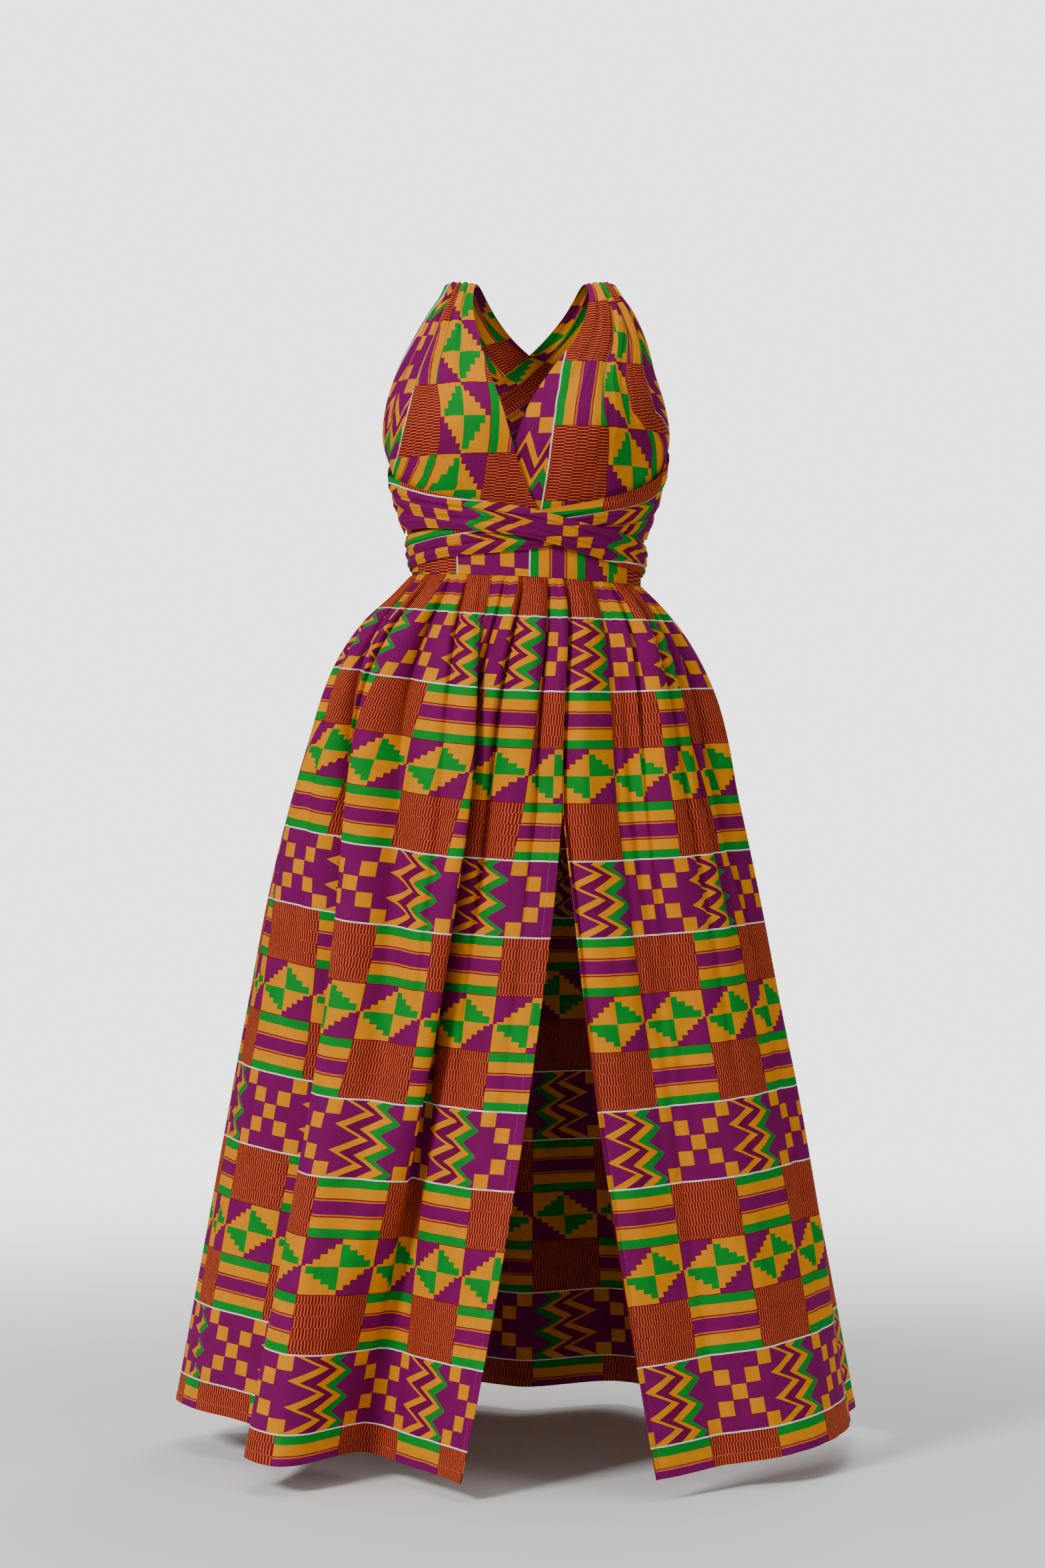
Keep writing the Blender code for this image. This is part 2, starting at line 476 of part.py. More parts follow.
def knot_rings():
    """Rings of the knot round its upright axis, with soft folds that run across it."""
    rise = np.linspace(-90, 90, KNOT_GRID[0] + 1)[1:-1]
    turn, rise = np.meshgrid(np.linspace(0, 360, KNOT_GRID[1], endpoint=False), rise)
    turn, rise = np.radians(turn), np.radians(rise)
    fold = 1 - KNOT_FOLD_DEPTH * (0.5 + 0.5 * np.cos(KNOT_FOLDS * rise * 2)) * np.cos(rise)
    x = KNOT_SIZE[0] * np.cos(rise) * np.cos(turn) * fold
    y = KNOT_SIZE[1] * np.cos(rise) * np.sin(turn) * fold
    z = KNOT_SIZE[2] * np.sin(rise)
    end = dict(zip(WRAP_COLUMNS, OVER_WRAP_BACK[-1]))
    crest = (end["top_lift"] + end["bottom_lift"]) / 2 + end["pleat"] + WRAP_CROWN
    middle = back_depth(KNOT_HEIGHT) + crest + KNOT_SIZE[1] * (1 - KNOT_FOLD_DEPTH) + KNOT_GAP
    return np.stack([x, y + middle, z + KNOT_HEIGHT], axis=-1)


def pocket_bag():
    """The flat pocket bag, from the left side seam forward inside the skirt."""
    down, across = np.meshgrid(np.linspace(0, 1, POCKET_GRID[0] + 1),
                               np.linspace(0, 1, POCKET_GRID[1] + 1), indexing="ij")
    rounded = np.sqrt(np.clip(1 - (2 * across - 1) ** 2, 0, 1))
    top = POCKET_MOUTH[0] - POCKET_BAG_RISE * rounded
    bottom = POCKET_MOUTH[1] - POCKET_BAG_CORNER * across + POCKET_BAG_DROP * rounded
    run = top + (bottom - top) * down
    level = np.array(SKIRT_RUNS)[:, None]
    place = np.full_like(level, LEFT_SEAM)
    line = (skirt_points(place, level) - skirt_normals(place, level) * (CLOTH + POCKET_GAP))[:, 0]
    seam = np.stack([np.interp(run[:, :1], SKIRT_RUNS, line[:, axis]) for axis in range(3)], axis=-1)
    section, outward = skirt_section(POCKET_ANGLE - POCKET_SWEEP * across, run)
    hung = section - outward * POCKET_DEPTH
    share = np.clip(across / POCKET_TURN, 0, 1)
    share = (share * share * (3 - 2 * share))[..., None]
    points = seam * (1 - share) + hung * share
    normals = grid_normals(points)
    facing = np.sign(np.sum(normals * outward, axis=-1, keepdims=True))
    return points, normals * facing


def mesh_object(name, points, faces, colour):
    """Object with its own cloth material."""
    mesh = bpy.data.meshes.new(name)
    mesh.from_pydata([tuple(point) for point in points], [], faces)
    mesh.validate()
    mesh.shade_smooth()
    mesh.set_sharp_from_angle(angle=math.radians(50))
    material = bpy.data.materials.new(name + "_cloth")
    material.use_nodes = True
    shader = material.node_tree.nodes["Principled BSDF"]
    shader.inputs["Base Color"].default_value = colour
    shader.inputs["Roughness"].default_value = CLOTH_ROUGHNESS
    shader.inputs["Metallic"].default_value = 0.0
    mesh.materials.append(material)
    thing = bpy.data.objects.new(name, mesh)
    bpy.context.scene.collection.objects.link(thing)
    return thing


def wall(name, shape, colour, thickness=CLOTH, closed=False):
    """Closed wall of cloth: the outer grid, the same grid moved in, and the strips at its edges."""
    outer, outward = shape
    down = outer[1:, :-1] - outer[:-1, :-1]
    across = outer[:-1, 1:] - outer[:-1, :-1]
    if np.sum(np.cross(down, across) * outward[:-1, :-1]) < 0:
        outer, outward = outer[:, ::-1], outward[:, ::-1]
    inner = outer - outward * thickness
    rows, columns = outer.shape[:2]
    points = np.concatenate([outer.reshape(-1, 3), inner.reshape(-1, 3)])
    shift = rows * columns
    faces = []
    for row in range(rows - 1):
        for column in range(columns if closed else columns - 1):
            a = row * columns + column
            b = row * columns + (column + 1) % columns
            c, d = a + columns, b + columns
            faces += [(a, c, b), (b, c, d)]
            faces += [(a + shift, b + shift, c + shift), (b + shift, d + shift, c + shift)]
    top = list(range(columns))
    low = [(rows - 1) * columns + column for column in top]
    edges = [(top, False), (low, True)]
    if not closed:
        first = [row * columns for row in range(rows)]
        last = [row * columns + columns - 1 for row in range(rows)]
        edges += [(first, True), (last, False)]
    for line, turned in edges:
        ends = line[1:] + line[:1] if closed else line[1:]
        for a, b in zip(line, ends):
            strip = [(a, b, b + shift), (a, b + shift, a + shift)]
            faces += [face[::-1] for face in strip] if turned else strip
    return mesh_object(name, points, faces, colour)


def knot(name, colour):
    """The knot: stacked rings closed with a point above and below."""
    rings = knot_rings()
    rows, columns = rings.shape[:2]
    centre = rings.mean(axis=(0, 1))
    points = list(rings.reshape(-1, 3))
    points += [centre - (0, 0, KNOT_SIZE[2]), centre + (0, 0, KNOT_SIZE[2])]
    faces = []
    for row in range(rows - 1):
        for column in range(columns):
            a, b = row * columns + column, row * columns + (column + 1) % columns
            faces += [(a, b, b + columns), (a, b + columns, a + columns)]
    last = (rows - 1) * columns
    for column in range(columns):
        after = (column + 1) % columns
        faces += [(len(points) - 2, after, column), (len(points) - 1, last + column, last + after)]
    return mesh_object(name, points, faces, colour)


def main():
    clear_scene()
    wall("skirt_front_left", skirt_panel(0.0, LEFT_SEAM), GOLD)
    wall("skirt_back", skirt_panel(LEFT_SEAM, RIGHT_SEAM), GREEN)
    wall("skirt_front_right", skirt_panel(RIGHT_SEAM, SKIRT_CUT), PURPLE)
    wall("pocket_bag", pocket_bag(), GREEN, POCKET_WALL)
    wall("waistband", band_ring(), MAROON, BAND_CLOTH, closed=True)
    wall("bodice_right", strip_on_figure(RIGHT_PANEL, PANEL_COLUMNS, PANEL_GRID, PANEL_PLEATS), GOLD)
    wall("bodice_left", strip_on_figure(LEFT_PANEL, PANEL_COLUMNS, PANEL_GRID, PANEL_PLEATS), PURPLE)
    wall("back_strap_right", strip_on_figure(RIGHT_STRAP, PANEL_COLUMNS, STRAP_GRID, STRAP_PLEATS), GOLD)
    wall("back_strap_left", strip_on_figure(LEFT_STRAP, PANEL_COLUMNS, STRAP_GRID, STRAP_PLEATS), PURPLE)
    wall("wrap_front_over", wrap_strip(OVER_WRAP, WRAP_GRID), PURPLE)
    wall("wrap_front_under", wrap_strip(UNDER_WRAP, WRAP_GRID), GOLD)
    wall("wrap_back_over", wrap_strip(OVER_WRAP_BACK, BACK_WRAP_GRID, behind=True), PURPLE)
    wall("wrap_back_under", wrap_strip(UNDER_WRAP_BACK, BACK_WRAP_GRID, behind=True), GOLD)
    knot("knot", MAROON)
    wall("tail_left", tail_strip(1), PURPLE)
    wall("tail_right", tail_strip(-1), GOLD)


main()
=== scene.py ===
import math

import bpy
import numpy as np
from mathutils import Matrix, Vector


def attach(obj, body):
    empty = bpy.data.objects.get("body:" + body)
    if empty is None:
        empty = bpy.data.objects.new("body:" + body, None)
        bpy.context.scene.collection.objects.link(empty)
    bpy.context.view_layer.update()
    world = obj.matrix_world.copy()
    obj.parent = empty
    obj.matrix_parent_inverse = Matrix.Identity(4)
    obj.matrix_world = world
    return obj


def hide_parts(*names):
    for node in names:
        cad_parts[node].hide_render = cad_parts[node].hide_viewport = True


# Wrap dress in kente print cotton. Metres, +Z up, front towards -Y, the wearer's left towards +X; the
# origin is on the mid-plane, where the straps rest on the shoulders. A run is a length along the cloth.
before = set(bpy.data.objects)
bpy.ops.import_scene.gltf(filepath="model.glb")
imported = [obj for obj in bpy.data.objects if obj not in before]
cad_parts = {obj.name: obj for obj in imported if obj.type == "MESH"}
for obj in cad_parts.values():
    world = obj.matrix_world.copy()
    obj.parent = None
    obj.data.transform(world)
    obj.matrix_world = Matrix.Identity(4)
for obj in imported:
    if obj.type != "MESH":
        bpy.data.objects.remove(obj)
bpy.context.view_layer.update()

cloth = {"wall": 0.0007, "seam": 0.0003, "step": 0.006, "threadPitch": 0.0034, "threadLength": 0.0024,
         "threadWidth": 0.0004, "threadRise": 0.00025}


# Curves and grids

# Smooth curve through the rows of a table: cubic between two rows, its slope at each the mean of its
# neighbours'.
def through(places, values, at):
    places = np.asarray(places, float)
    values = np.asarray(values, float)
    step = np.diff(places)
    rise = np.diff(values, axis=0) / step.reshape((-1,) + (1,) * (values.ndim - 1))
    slope = np.concatenate([rise[:1], (rise[:-1] + rise[1:]) / 2, rise[-1:]])
    at = np.clip(np.asarray(at, float), places[0], places[-1])
    row = np.clip(np.searchsorted(places, at) - 1, 0, len(step) - 1)
    spare = (1,) * (values.ndim - 1)
    wide = step[row].reshape(row.shape + spare)
    part = ((at - places[row]) / step[row]).reshape(row.shape + spare)
    start = (1 + 2 * part) * (1 - part) ** 2 * values[row] + part * (1 - part) ** 2 * wide * slope[row]
    end = part ** 2 * (3 - 2 * part) * values[row + 1] + part ** 2 * (part - 1) * wide * slope[row + 1]
    return start + end


# Columns of a table at a count of even steps through its rows.
def tableColumns(rows, count):
    stations = np.linspace(0, len(rows) - 1, count + 1)
    return through(np.arange(len(rows)), np.array(rows), stations).T[..., None]


# Vectors divided by their lengths.
def unit(vectors):
    return vectors / np.linalg.norm(vectors, axis=-1, keepdims=True)


# Smooth step from 0 to 1: three squares less two cubes of the clipped value.
def smooth(value):
    value = np.clip(value, 0, 1)
    return value * value * (3 - 2 * value)


# Directions square to a grid: its step down crossed with its step across.
def gridNormals(points):
    return unit(np.cross(np.gradient(points, axis=0), np.gradient(points, axis=1)))


# Uneven wave between -1 and 1: three sines of unrelated lengths; turn shifts them.
def uneven(place, turn=0.0):
    return (0.5 * np.sin(2 * np.pi * place + turn) + 0.3 * np.sin(2 * np.pi * 2.31 * place + 1.7 * turn + 1)
            + 0.2 * np.sin(2 * np.pi * 4.17 * place + 2.9 * turn + 2))


# Soft folds along straight lines: a bell across each, times a flatter bell along it that ends within reach.
def softFolds(folds, across, along, reach):
    lift = 0 * (across + along)
    for acrossFrom, alongFrom, acrossTo, alongTo, width, rise in folds:
        share = (along - alongFrom) / (alongTo - alongFrom)
        line = acrossFrom + (acrossTo - acrossFrom) * share
        lift = lift + rise * np.exp(-((across - line) / width) ** 2 - ((2 * share - 1) / reach) ** 4)
    return lift


# Length along each row of a grid, from its first column.
def rowLengths(points):
    steps = np.linalg.norm(np.diff(points, axis=1), axis=-1)
    return np.concatenate([np.zeros((len(points), 1)), np.cumsum(steps, axis=1)], axis=1)


# Place on the cut cloth along each row of a gathered grid. turns is 0, 1, 2... on the crests. Round each
# crest the cloth keeps its true length, and what the gather hides is passed over close to the valleys;
# where the surface is longer than the cloth it is spread evenly.
def clothAlong(points, turns, cut, sharp=0.14):
    lengths = rowLengths(points)
    column = np.arange(points.shape[1])
    crest = np.clip(np.round(turns), np.ceil(turns[0]), np.floor(turns[-1]))
    side = np.where(turns >= crest, 0.5, -0.5)
    crestAt, valleyAt = np.interp(crest, turns, column), np.interp(crest + side, turns, column)
    result = np.empty_like(cut)
    for row in range(len(points)):
        along = lengths[row] - np.interp(crestAt, column, lengths[row])
        whole = np.interp(valleyAt, column, lengths[row]) - np.interp(crestAt, column, lengths[row])
        start = np.interp(crestAt, column, cut[row])
        hidden = np.abs(np.interp(valleyAt, column, cut[row]) - start) - np.abs(whole)
        part = np.clip(np.abs(along) / np.maximum(np.abs(whole), 1e-6), 0, 1)
        passed = np.maximum(hidden, 0) * smooth((part - 1 + sharp) / sharp) + np.minimum(hidden, 0) * part
        result[row] = start + np.sign(along) * (np.abs(along) + passed)
    return result


# Meshes

def newObject(name, data):
    thing = bpy.data.objects.new(name, data)
    bpy.context.scene.collection.objects.link(thing)
    return thing


# Smooth mesh that replaces a node; chart is the place on the print for each corner of its faces.
def meshObject(name, points, faces, node, chart=None):
    mesh = bpy.data.meshes.new(name)
    mesh.from_pydata(points.tolist(), [], faces if isinstance(faces, list) else faces.tolist())
    if chart is not None:
        layer = mesh.uv_layers.new(name="cloth")
        layer.data.foreach_set("uv", np.asarray(chart, np.float32).ravel())
    mesh.shade_smooth()
    mesh.set_sharp_from_angle(angle=math.radians(60))
    thing = newObject(name, mesh)
    if node:
        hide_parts(node)
    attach(thing, "root")
    return thing


# Wall of cloth: the outer grid, the same grid moved in by the wall, and strips at its edges. The chart
# gives each point's place on the print, across and down; a closed grid has one more column of it.
def clothWall(name, node, outer, outward, across, down, wall=cloth["wall"], closed=False):
    chart = np.stack([across + 0 * down, down + 0 * across], axis=-1)
    edges = np.cross(outer[1:, :-1] - outer[:-1, :-1], outer[:-1, 1:] - outer[:-1, :-1])
    if np.sum(edges * outward[:-1, :-1]) < 0:
        outer, outward, chart = outer[:, ::-1], outward[:, ::-1], chart[:, ::-1]
        wall = wall[:, ::-1] if np.ndim(wall) else wall
    inner = outer - outward * (wall[..., None] if np.ndim(wall) else wall)
    rows, columns = outer.shape[:2]
    index = np.arange(rows * columns).reshape(rows, columns)
    index = np.concatenate([index, index[:, :1]], axis=1) if closed else index
    place = np.arange(chart.shape[0] * chart.shape[1]).reshape(chart.shape[:2])

    def walls(grid, shift):
        front = np.stack([grid[:-1, :-1], grid[1:, :-1], grid[1:, 1:], grid[:-1, 1:]], axis=-1).reshape(-1, 4)
        faces = [front, front[:, ::-1] + shift]
        lines = [(grid[0], False), (grid[-1], True)]
        lines += [] if closed else [(grid[:, 0], True), (grid[:, -1], False)]
        for line, turned in lines:
            a, b = (line[1:], line[:-1]) if turned else (line[:-1], line[1:])
            faces.append(np.stack([a, b, b + shift, a + shift], axis=-1))
        return np.concatenate(faces)

    faces = walls(index, rows * columns)
    corners = walls(place, 0)
    points = np.concatenate([outer.reshape(-1, 3), inner.reshape(-1, 3)])
    return meshObject(name, points, faces, node, chart.reshape(-1, 2)[corners])


# Stitches on a line of points with outward directions: small bars, each with six sides along it and pointed
# ends.
def stitches(name, line, outward, pitch=cloth["threadPitch"]):
    lengths = np.concatenate([[0], np.cumsum(np.linalg.norm(np.diff(line, axis=0), axis=1))])
    middles = np.arange(pitch / 2, lengths[-1] - pitch / 2, pitch)

    def at(where, values):
        return np.stack([np.interp(where, lengths, values[:, axis]) for axis in range(3)], axis=-1)

    centre, up = at(middles, line), unit(at(middles, outward))
    along = unit(at(middles + pitch * 0.3, line) - at(middles - pitch * 0.3, line))
    side = unit(np.cross(up, along))
    up = np.cross(along, side)
    ring = [(0.5, 0.0), (0.25, 0.8), (-0.25, 0.8), (-0.5, 0.0)]
    half, width, rise = cloth["threadLength"] / 2, cloth["threadWidth"], cloth["threadRise"]
    points = [centre - along * half - up * rise * 0.6]
    for share in (-0.55, 0.55):
        points += [centre + along * half * share + side * width * a + up * rise * b for a, b in ring]
    points.append(centre + along * half - up * rise * 0.6)
    points = np.stack(points, axis=1)
    first = [(0, 2, 1), (0, 3, 2), (0, 4, 3), (0, 1, 4)]
    last = [(9, 5, 6), (9, 6, 7), (9, 7, 8), (9, 8, 5)]
    bars = [(1, 2, 6), (1, 6, 5), (2, 3, 7), (2, 7, 6), (3, 4, 8), (3, 8, 7), (4, 1, 5), (4, 5, 8)]
    shape = np.array(first + last + bars)
    faces = (shape[None] + 10 * np.arange(len(centre))[:, None, None]).reshape(-1, 3)
    return meshObject(name, points.reshape(-1, 3), faces, None)


# Skirt

skirt = {
    "frontLeftCut": 0.44, "backCut": 1.30, "frontRightCut": 0.60, "run": 1.077, "slitRun": 0.293,
    "waistHeight": -0.368, "waistTilt": -0.05, "tiltFade": 0.9, "waistSeams": (17.8, 100.0, 268.0, 377.8),
    "gathers": 40, "gatherSpread": 0.50, "gatherLean": 0.80, "valley": 0.012, "reachChange": 0.50,
    "heightChange": 0.42, "minors": 2.4, "minorHeight": 0.0034, "minorRun": 0.16,
    "lapPlace": 2.135, "lapWidth": 0.05, "lapCalm": 0.9,
    "crimps": 96, "crimpHeight": 0.0008, "crimpRun": 0.035, "pull": 0.0013, "pullRun": 0.045,
    "rows": 112, "columnPitch": 0.0033, "hem": 0.0115, "hemWall": 0.0014, "hemRise": 0.00035,
    "groove": 0.0004, "grooveWidth": 0.0011, "printDown": -0.055, "extraRun": 0.42, "creaseReach": 0.75,
    "gatherWaves": ((0.22, 3.1, 1.3), (0.12, 7.3, 0.4)),  # share of a gather, waves in a metre, turn
}
skirt["cut"] = skirt["frontLeftCut"] + skirt["backCut"] + skirt["frontRightCut"]
skirt["leftSeam"] = skirt["frontLeftCut"]
skirt["rightSeam"] = skirt["frontLeftCut"] + skirt["backCut"]

# Section by its run below the waist: half size and drop of each quarter
skirtProfile = {
    "run":        (0.000, 0.030, 0.080, 0.150, 0.250, 0.400, 0.600, 0.800, 1.077),
    "front":      (0.107, 0.122, 0.138, 0.152, 0.168, 0.191, 0.222, 0.251, 0.290),
    "frontDrop":  (0.000, 0.026, 0.074, 0.143, 0.242, 0.390, 0.588, 0.785, 1.059),
    "back":       (0.097, 0.116, 0.141, 0.163, 0.182, 0.203, 0.232, 0.261, 0.300),
    "backDrop":   (0.000, 0.024, 0.068, 0.135, 0.233, 0.382, 0.579, 0.777, 1.051),
    "left":       (0.142, 0.162, 0.192, 0.221, 0.248, 0.283, 0.322, 0.357, 0.401),
    "leftDrop":   (0.000, 0.023, 0.063, 0.127, 0.223, 0.369, 0.565, 0.762, 1.036),
    "right":      (0.142, 0.160, 0.195, 0.233, 0.268, 0.308, 0.345, 0.378, 0.421),
    "rightDrop":  (0.000, 0.024, 0.060, 0.119, 0.213, 0.358, 0.554, 0.751, 1.025),
}
gatherHeight = {
    "run":    (0.000, 0.012, 0.035, 0.070, 0.120, 0.190, 0.280, 0.400, 0.540, 0.700, 1.077),
    "height": (0.0017, 0.0034, 0.0056, 0.0070, 0.0074, 0.0068, 0.0055, 0.0040, 0.0024, 0.0012, 0.0006),
}

# Large folds: place along the cut cloth, then angle round the figure (0 in front, 90 at the wearer's left)
# and lift off the section at three levels, and what the open slit adds at the hem.
foldLevels = (0.0, 0.15, 0.45, 1.077)
leftFolds = (
    (0, 11, 0.003, 8, 0.004, 5, 0.01, 15.5, 0.025),
    (0.06, 21, 0.004, 18, 0.004, 17, 0.01, 9.5, 0.01),
    (0.105, 31, -0.004, 27, -0.003, 26, 0.006, 7, 0),
    (0.125, 34, -0.01, 30, -0.009, 30.5, 0.003, 5, 0),
    (0.145, 37, 0, 33, -0.002, 35, 0.008, 3.5, 0),
    (0.2, 47, 0.006, 45, 0.004, 46, 0.018, 2, 0),
    (0.28, 63, -0.003, 63, 0, 63, 0.014, 0, 0),
    (0.36, 79, 0.004, 79, 0.003, 76, 0.006, 0, 0),
)
backFolds = (
    (0.44, 97, 0, 95, 0, 90, 0, 0, 0),
    (0.54, 110, 0.006, 108, 0.01, 104, 0.024, 0, 0),
    (0.64, 123, -0.007, 121, -0.014, 118, -0.022, 0, 0),
    (0.75, 137, 0.007, 135, 0.012, 134, 0.034, 0, 0),
    (0.86, 151, -0.006, 150, -0.013, 149, -0.03, 0, 0),
    (0.97, 165, 0.007, 165, 0.014, 164, 0.022, 0, 0),
    (1.08, 179, -0.008, 180, -0.015, 180, -0.028, 0, 0),
    (1.19, 193, 0.007, 194, 0.013, 195, 0.036, 0, 0),
    (1.3, 207, -0.006, 209, -0.012, 210, -0.018, 0, 0),
    (1.41, 222, 0.008, 224, 0.014, 225, 0.024, 0, 0),
    (1.52, 236, -0.007, 238, -0.013, 240, -0.034, 0, 0),
    (1.63, 251, 0.006, 254, 0.01, 256, 0.026, 0, 0),
)
rightFolds = (
    (1.74, 269, 0, 271, 0, 272, 0, 0, 0),
    (1.8, 285, 0.004, 298, -0.01, 289, -0.045, 0, 0),
    (1.853, 296, -0.006, 312, -0.035, 302, -0.055, 0, 0),
    (1.885, 300, -0.008, 317, -0.035, 308, -0.03, 0, 0),
    (1.915, 303, 0, 316.5, -0.012, 312, 0.015, 0, 0),
    (1.943, 306, 0.008, 315, 0.012, 314, 0.05, 0, 0),
    (1.97, 311, 0.008, 320, 0.02, 319, 0.062, 0, 0),
    (2.02, 320.5, -0.012, 330, -0.005, 323, 0.045, 0, 0),
    (2.09, 340, 0.012, 340.5, 0.025, 326, -0.035, -1, 0),
    (2.119, 345.5, 0.01, 344.5, 0.018, 327.5, -0.065, -1.5, 0),
    (2.145, 344.5, 0, 343, -0.005, 330, -0.077, -2.5, 0),
    (2.175, 343.5, -0.014, 341, -0.03, 336, -0.074, -4, 0),
    (2.204, 346.5, -0.008, 344.5, -0.018, 343, -0.052, -5.5, 0),
    (2.26, 357.5, 0.004, 354, 0, 354.5, -0.012, -9.5, 0),
    (2.34, 371, 0.003, 368, 0.004, 365, 0.01, -15, 0.02),
)

# Soft troughs and ridges: place and run where each starts and ends, half width, height
skirtCreases = (
    (0.375, 0.06, 0.335, 0.3, 0.016, 0.0044), (0.3, 0.1, 0.285, 0.46, 0.02, -0.006),
    (0.21, 0.05, 0.235, 0.36, 0.014, 0.0036), (0.165, 0.3, 0.16, 0.75, 0.022, -0.0052),
    (0.07, 0.34, 0.08, 0.62, 0.018, 0.0032), (0.118, 0.12, 0.122, 0.44, 0.012, -0.0048),
    (0.255, 0.16, 0.262, 0.5, 0.013, -0.004), (0.028, 0.1, 0.034, 0.4, 0.012, 0.0028),
    (0.33, 0.52, 0.345, 0.98, 0.026, 0.006), (0.24, 0.7, 0.235, 1.04, 0.02, -0.0044),
    (2.29, 0.4, 2.275, 0.8, 0.02, 0.0048), (2.245, 0.1, 2.24, 0.46, 0.012, -0.0052),
    (2.3, 0.08, 2.306, 0.36, 0.01, -0.0036), (2.085, 0.22, 2.08, 0.6, 0.012, -0.0052),
    (2.05, 0.16, 2.06, 0.55, 0.018, 0.0052), (2, 0.25, 2.01, 0.7, 0.014, -0.0044),
    (1.965, 0.6, 1.99, 1.02, 0.018, 0.004), (1.905, 0.1, 1.9, 0.34, 0.013, -0.004),
    (1.83, 0.08, 1.815, 0.42, 0.02, 0.0052), (1.79, 0.28, 1.775, 0.66, 0.022, -0.0048),
    (0.52, 0.12, 0.545, 0.48, 0.022, 0.0056), (0.7, 0.2, 0.69, 0.8, 0.026, -0.006),
    (0.905, 0.1, 0.915, 0.42, 0.018, 0.0052), (1.02, 0.34, 1.03, 0.9, 0.024, 0.006),
    (1.245, 0.14, 1.235, 0.52, 0.02, -0.0052), (1.36, 0.3, 1.37, 0.86, 0.024, 0.0056),
    (1.475, 0.1, 1.465, 0.4, 0.018, 0.0044), (1.585, 0.45, 1.6, 1, 0.026, -0.0056),
)


# Plain section, an ellipse in each quarter, and its outward direction.
def skirtSection(angle, run):
    size = {key: through(skirtProfile["run"], column, run) for key, column in skirtProfile.items()}
    turn = np.radians(angle)
    sine, cosine = np.sin(turn), np.cos(turn)
    side = np.where(sine > 0, size["left"], size["right"])
    sideDrop = np.where(sine > 0, size["leftDrop"], size["rightDrop"])
    depth = np.where(cosine > 0, size["front"], size["back"])
    depthDrop = np.where(cosine > 0, size["frontDrop"], size["backDrop"])
    drop = sideDrop * sine ** 2 + depthDrop * cosine ** 2
    x = side * sine
    tilt = skirt["waistTilt"] * x * np.clip(1 - run / skirt["tiltFade"], 0, 1)
    points = np.stack([x, -depth * cosine, skirt["waistHeight"] - drop + tilt], axis=-1)
    return points, unit(np.stack([sine / side, -cosine / depth, 0 * sine], axis=-1))


# Large folds: at each run the fold table gives angle and lift for its places, and the places between follow
# a smooth curve. The run is one value a row.
def skirtFolds(place, run):
    (at, hipAngle, hipLift, midAngle, midLift, hemAngle, hemLift, slitAngle,
     slitLift) = np.array(leftFolds + backFolds + rightFolds).T
    seams = (0.0, skirt["leftSeam"], skirt["rightSeam"], skirt["cut"])
    angles = (np.interp(at, seams, skirt["waistSeams"]), hipAngle, midAngle, hemAngle)
    lifts = (0 * at, hipLift, midLift, hemLift)
    angle, lift = np.empty_like(place), np.empty_like(place)
    for row in range(len(place)):
        level = run[row, :1]
        opened = np.clip((level - skirt["slitRun"]) / (skirt["run"] - skirt["slitRun"]), 0, 1)
        rowAngle = through(foldLevels, angles, level)[0] + opened * slitAngle
        rowLift = through(foldLevels, lifts, level)[0] + opened * slitLift
        angle[row] = through(at, rowAngle, place[row])
        lift[row] = through(at, rowLift, place[row])
    points, outward = skirtSection(angle, run)
    return points + outward * lift[..., None], outward


# Gathers passed at a place: even ones, shifted by two sine waves, so that some are wide and some narrow.
def gatherTurns(place):
    turns = skirt["gathers"] * place / skirt["cut"]
    for share, waves, turn in skirt["gatherWaves"]:
        turns = turns + share * np.sin(2 * np.pi * waves * place + turn)
    return turns


# Fine crimps that the stitches of the waist seam draw up.
def crimpWave(place):
    return np.cos(2 * np.pi * (skirt["crimps"] * place / skirt["cut"] + 0.4 * uneven(place * 9.0, 1.1)))


# Cloth of the skirt: large folds; gathers with round crests and sharp valleys, uneven in height and length,
# which lean to one side; fine crimps at the waist seam; soft creases.
def skirtPoints(place, run):
    points, outward = skirtFolds(place, run)
    step = cloth["step"]
    middle = np.clip(place, step, skirt["cut"] - step)
    along = (skirtFolds(middle + step, run)[0] - skirtFolds(middle - step, run)[0]) / (2 * step)
    turns = gatherTurns(place)
    reach = 1 + skirt["reachChange"] * uneven(place * 3.7, 0.6)
    height = through(gatherHeight["run"], gatherHeight["height"], run / np.clip(reach, 0.55, 1.6))
    height = height * (1 + skirt["heightChange"] * uneven(place * 5.3, 2.1))
    height = height * (1 - skirt["lapCalm"] * np.exp(-((place - skirt["lapPlace"]) / skirt["lapWidth"]) ** 2))
    valley = skirt["valley"]
    low, high = math.sqrt(valley), math.sqrt(1 + valley)
    crest = (2 * np.sqrt(np.cos(np.pi * turns) ** 2 + valley) - low - high) / (high - low)
    sway = height / max(gatherHeight["height"]) * skirt["cut"] / (2 * np.pi * skirt["gathers"])
    sway = sway * (skirt["gatherSpread"] * np.sin(2 * np.pi * turns) + skirt["gatherLean"] * 0.5 * crest)
    crimp = skirt["crimpHeight"] * np.exp(-run / skirt["crimpRun"]) * crimpWave(place)
    minorTurns = skirt["minors"] * turns + 0.35 * uneven(place * 6.1, 4.0)
    minor = np.sqrt(np.cos(np.pi * minorTurns) ** 2 + 0.01) - 0.6
    minor = minor * skirt["minorHeight"] * (0.75 + 0.45 * uneven(place * 8.3, 5.2))
    minor = minor * np.exp(-(run / skirt["minorRun"]) ** 2) * smooth(run / 0.02)
    lift = height * crest + crimp + minor + softFolds(skirtCreases, place, run, skirt["creaseReach"])
    return points + outward * lift[..., None] + along * sway[..., None]


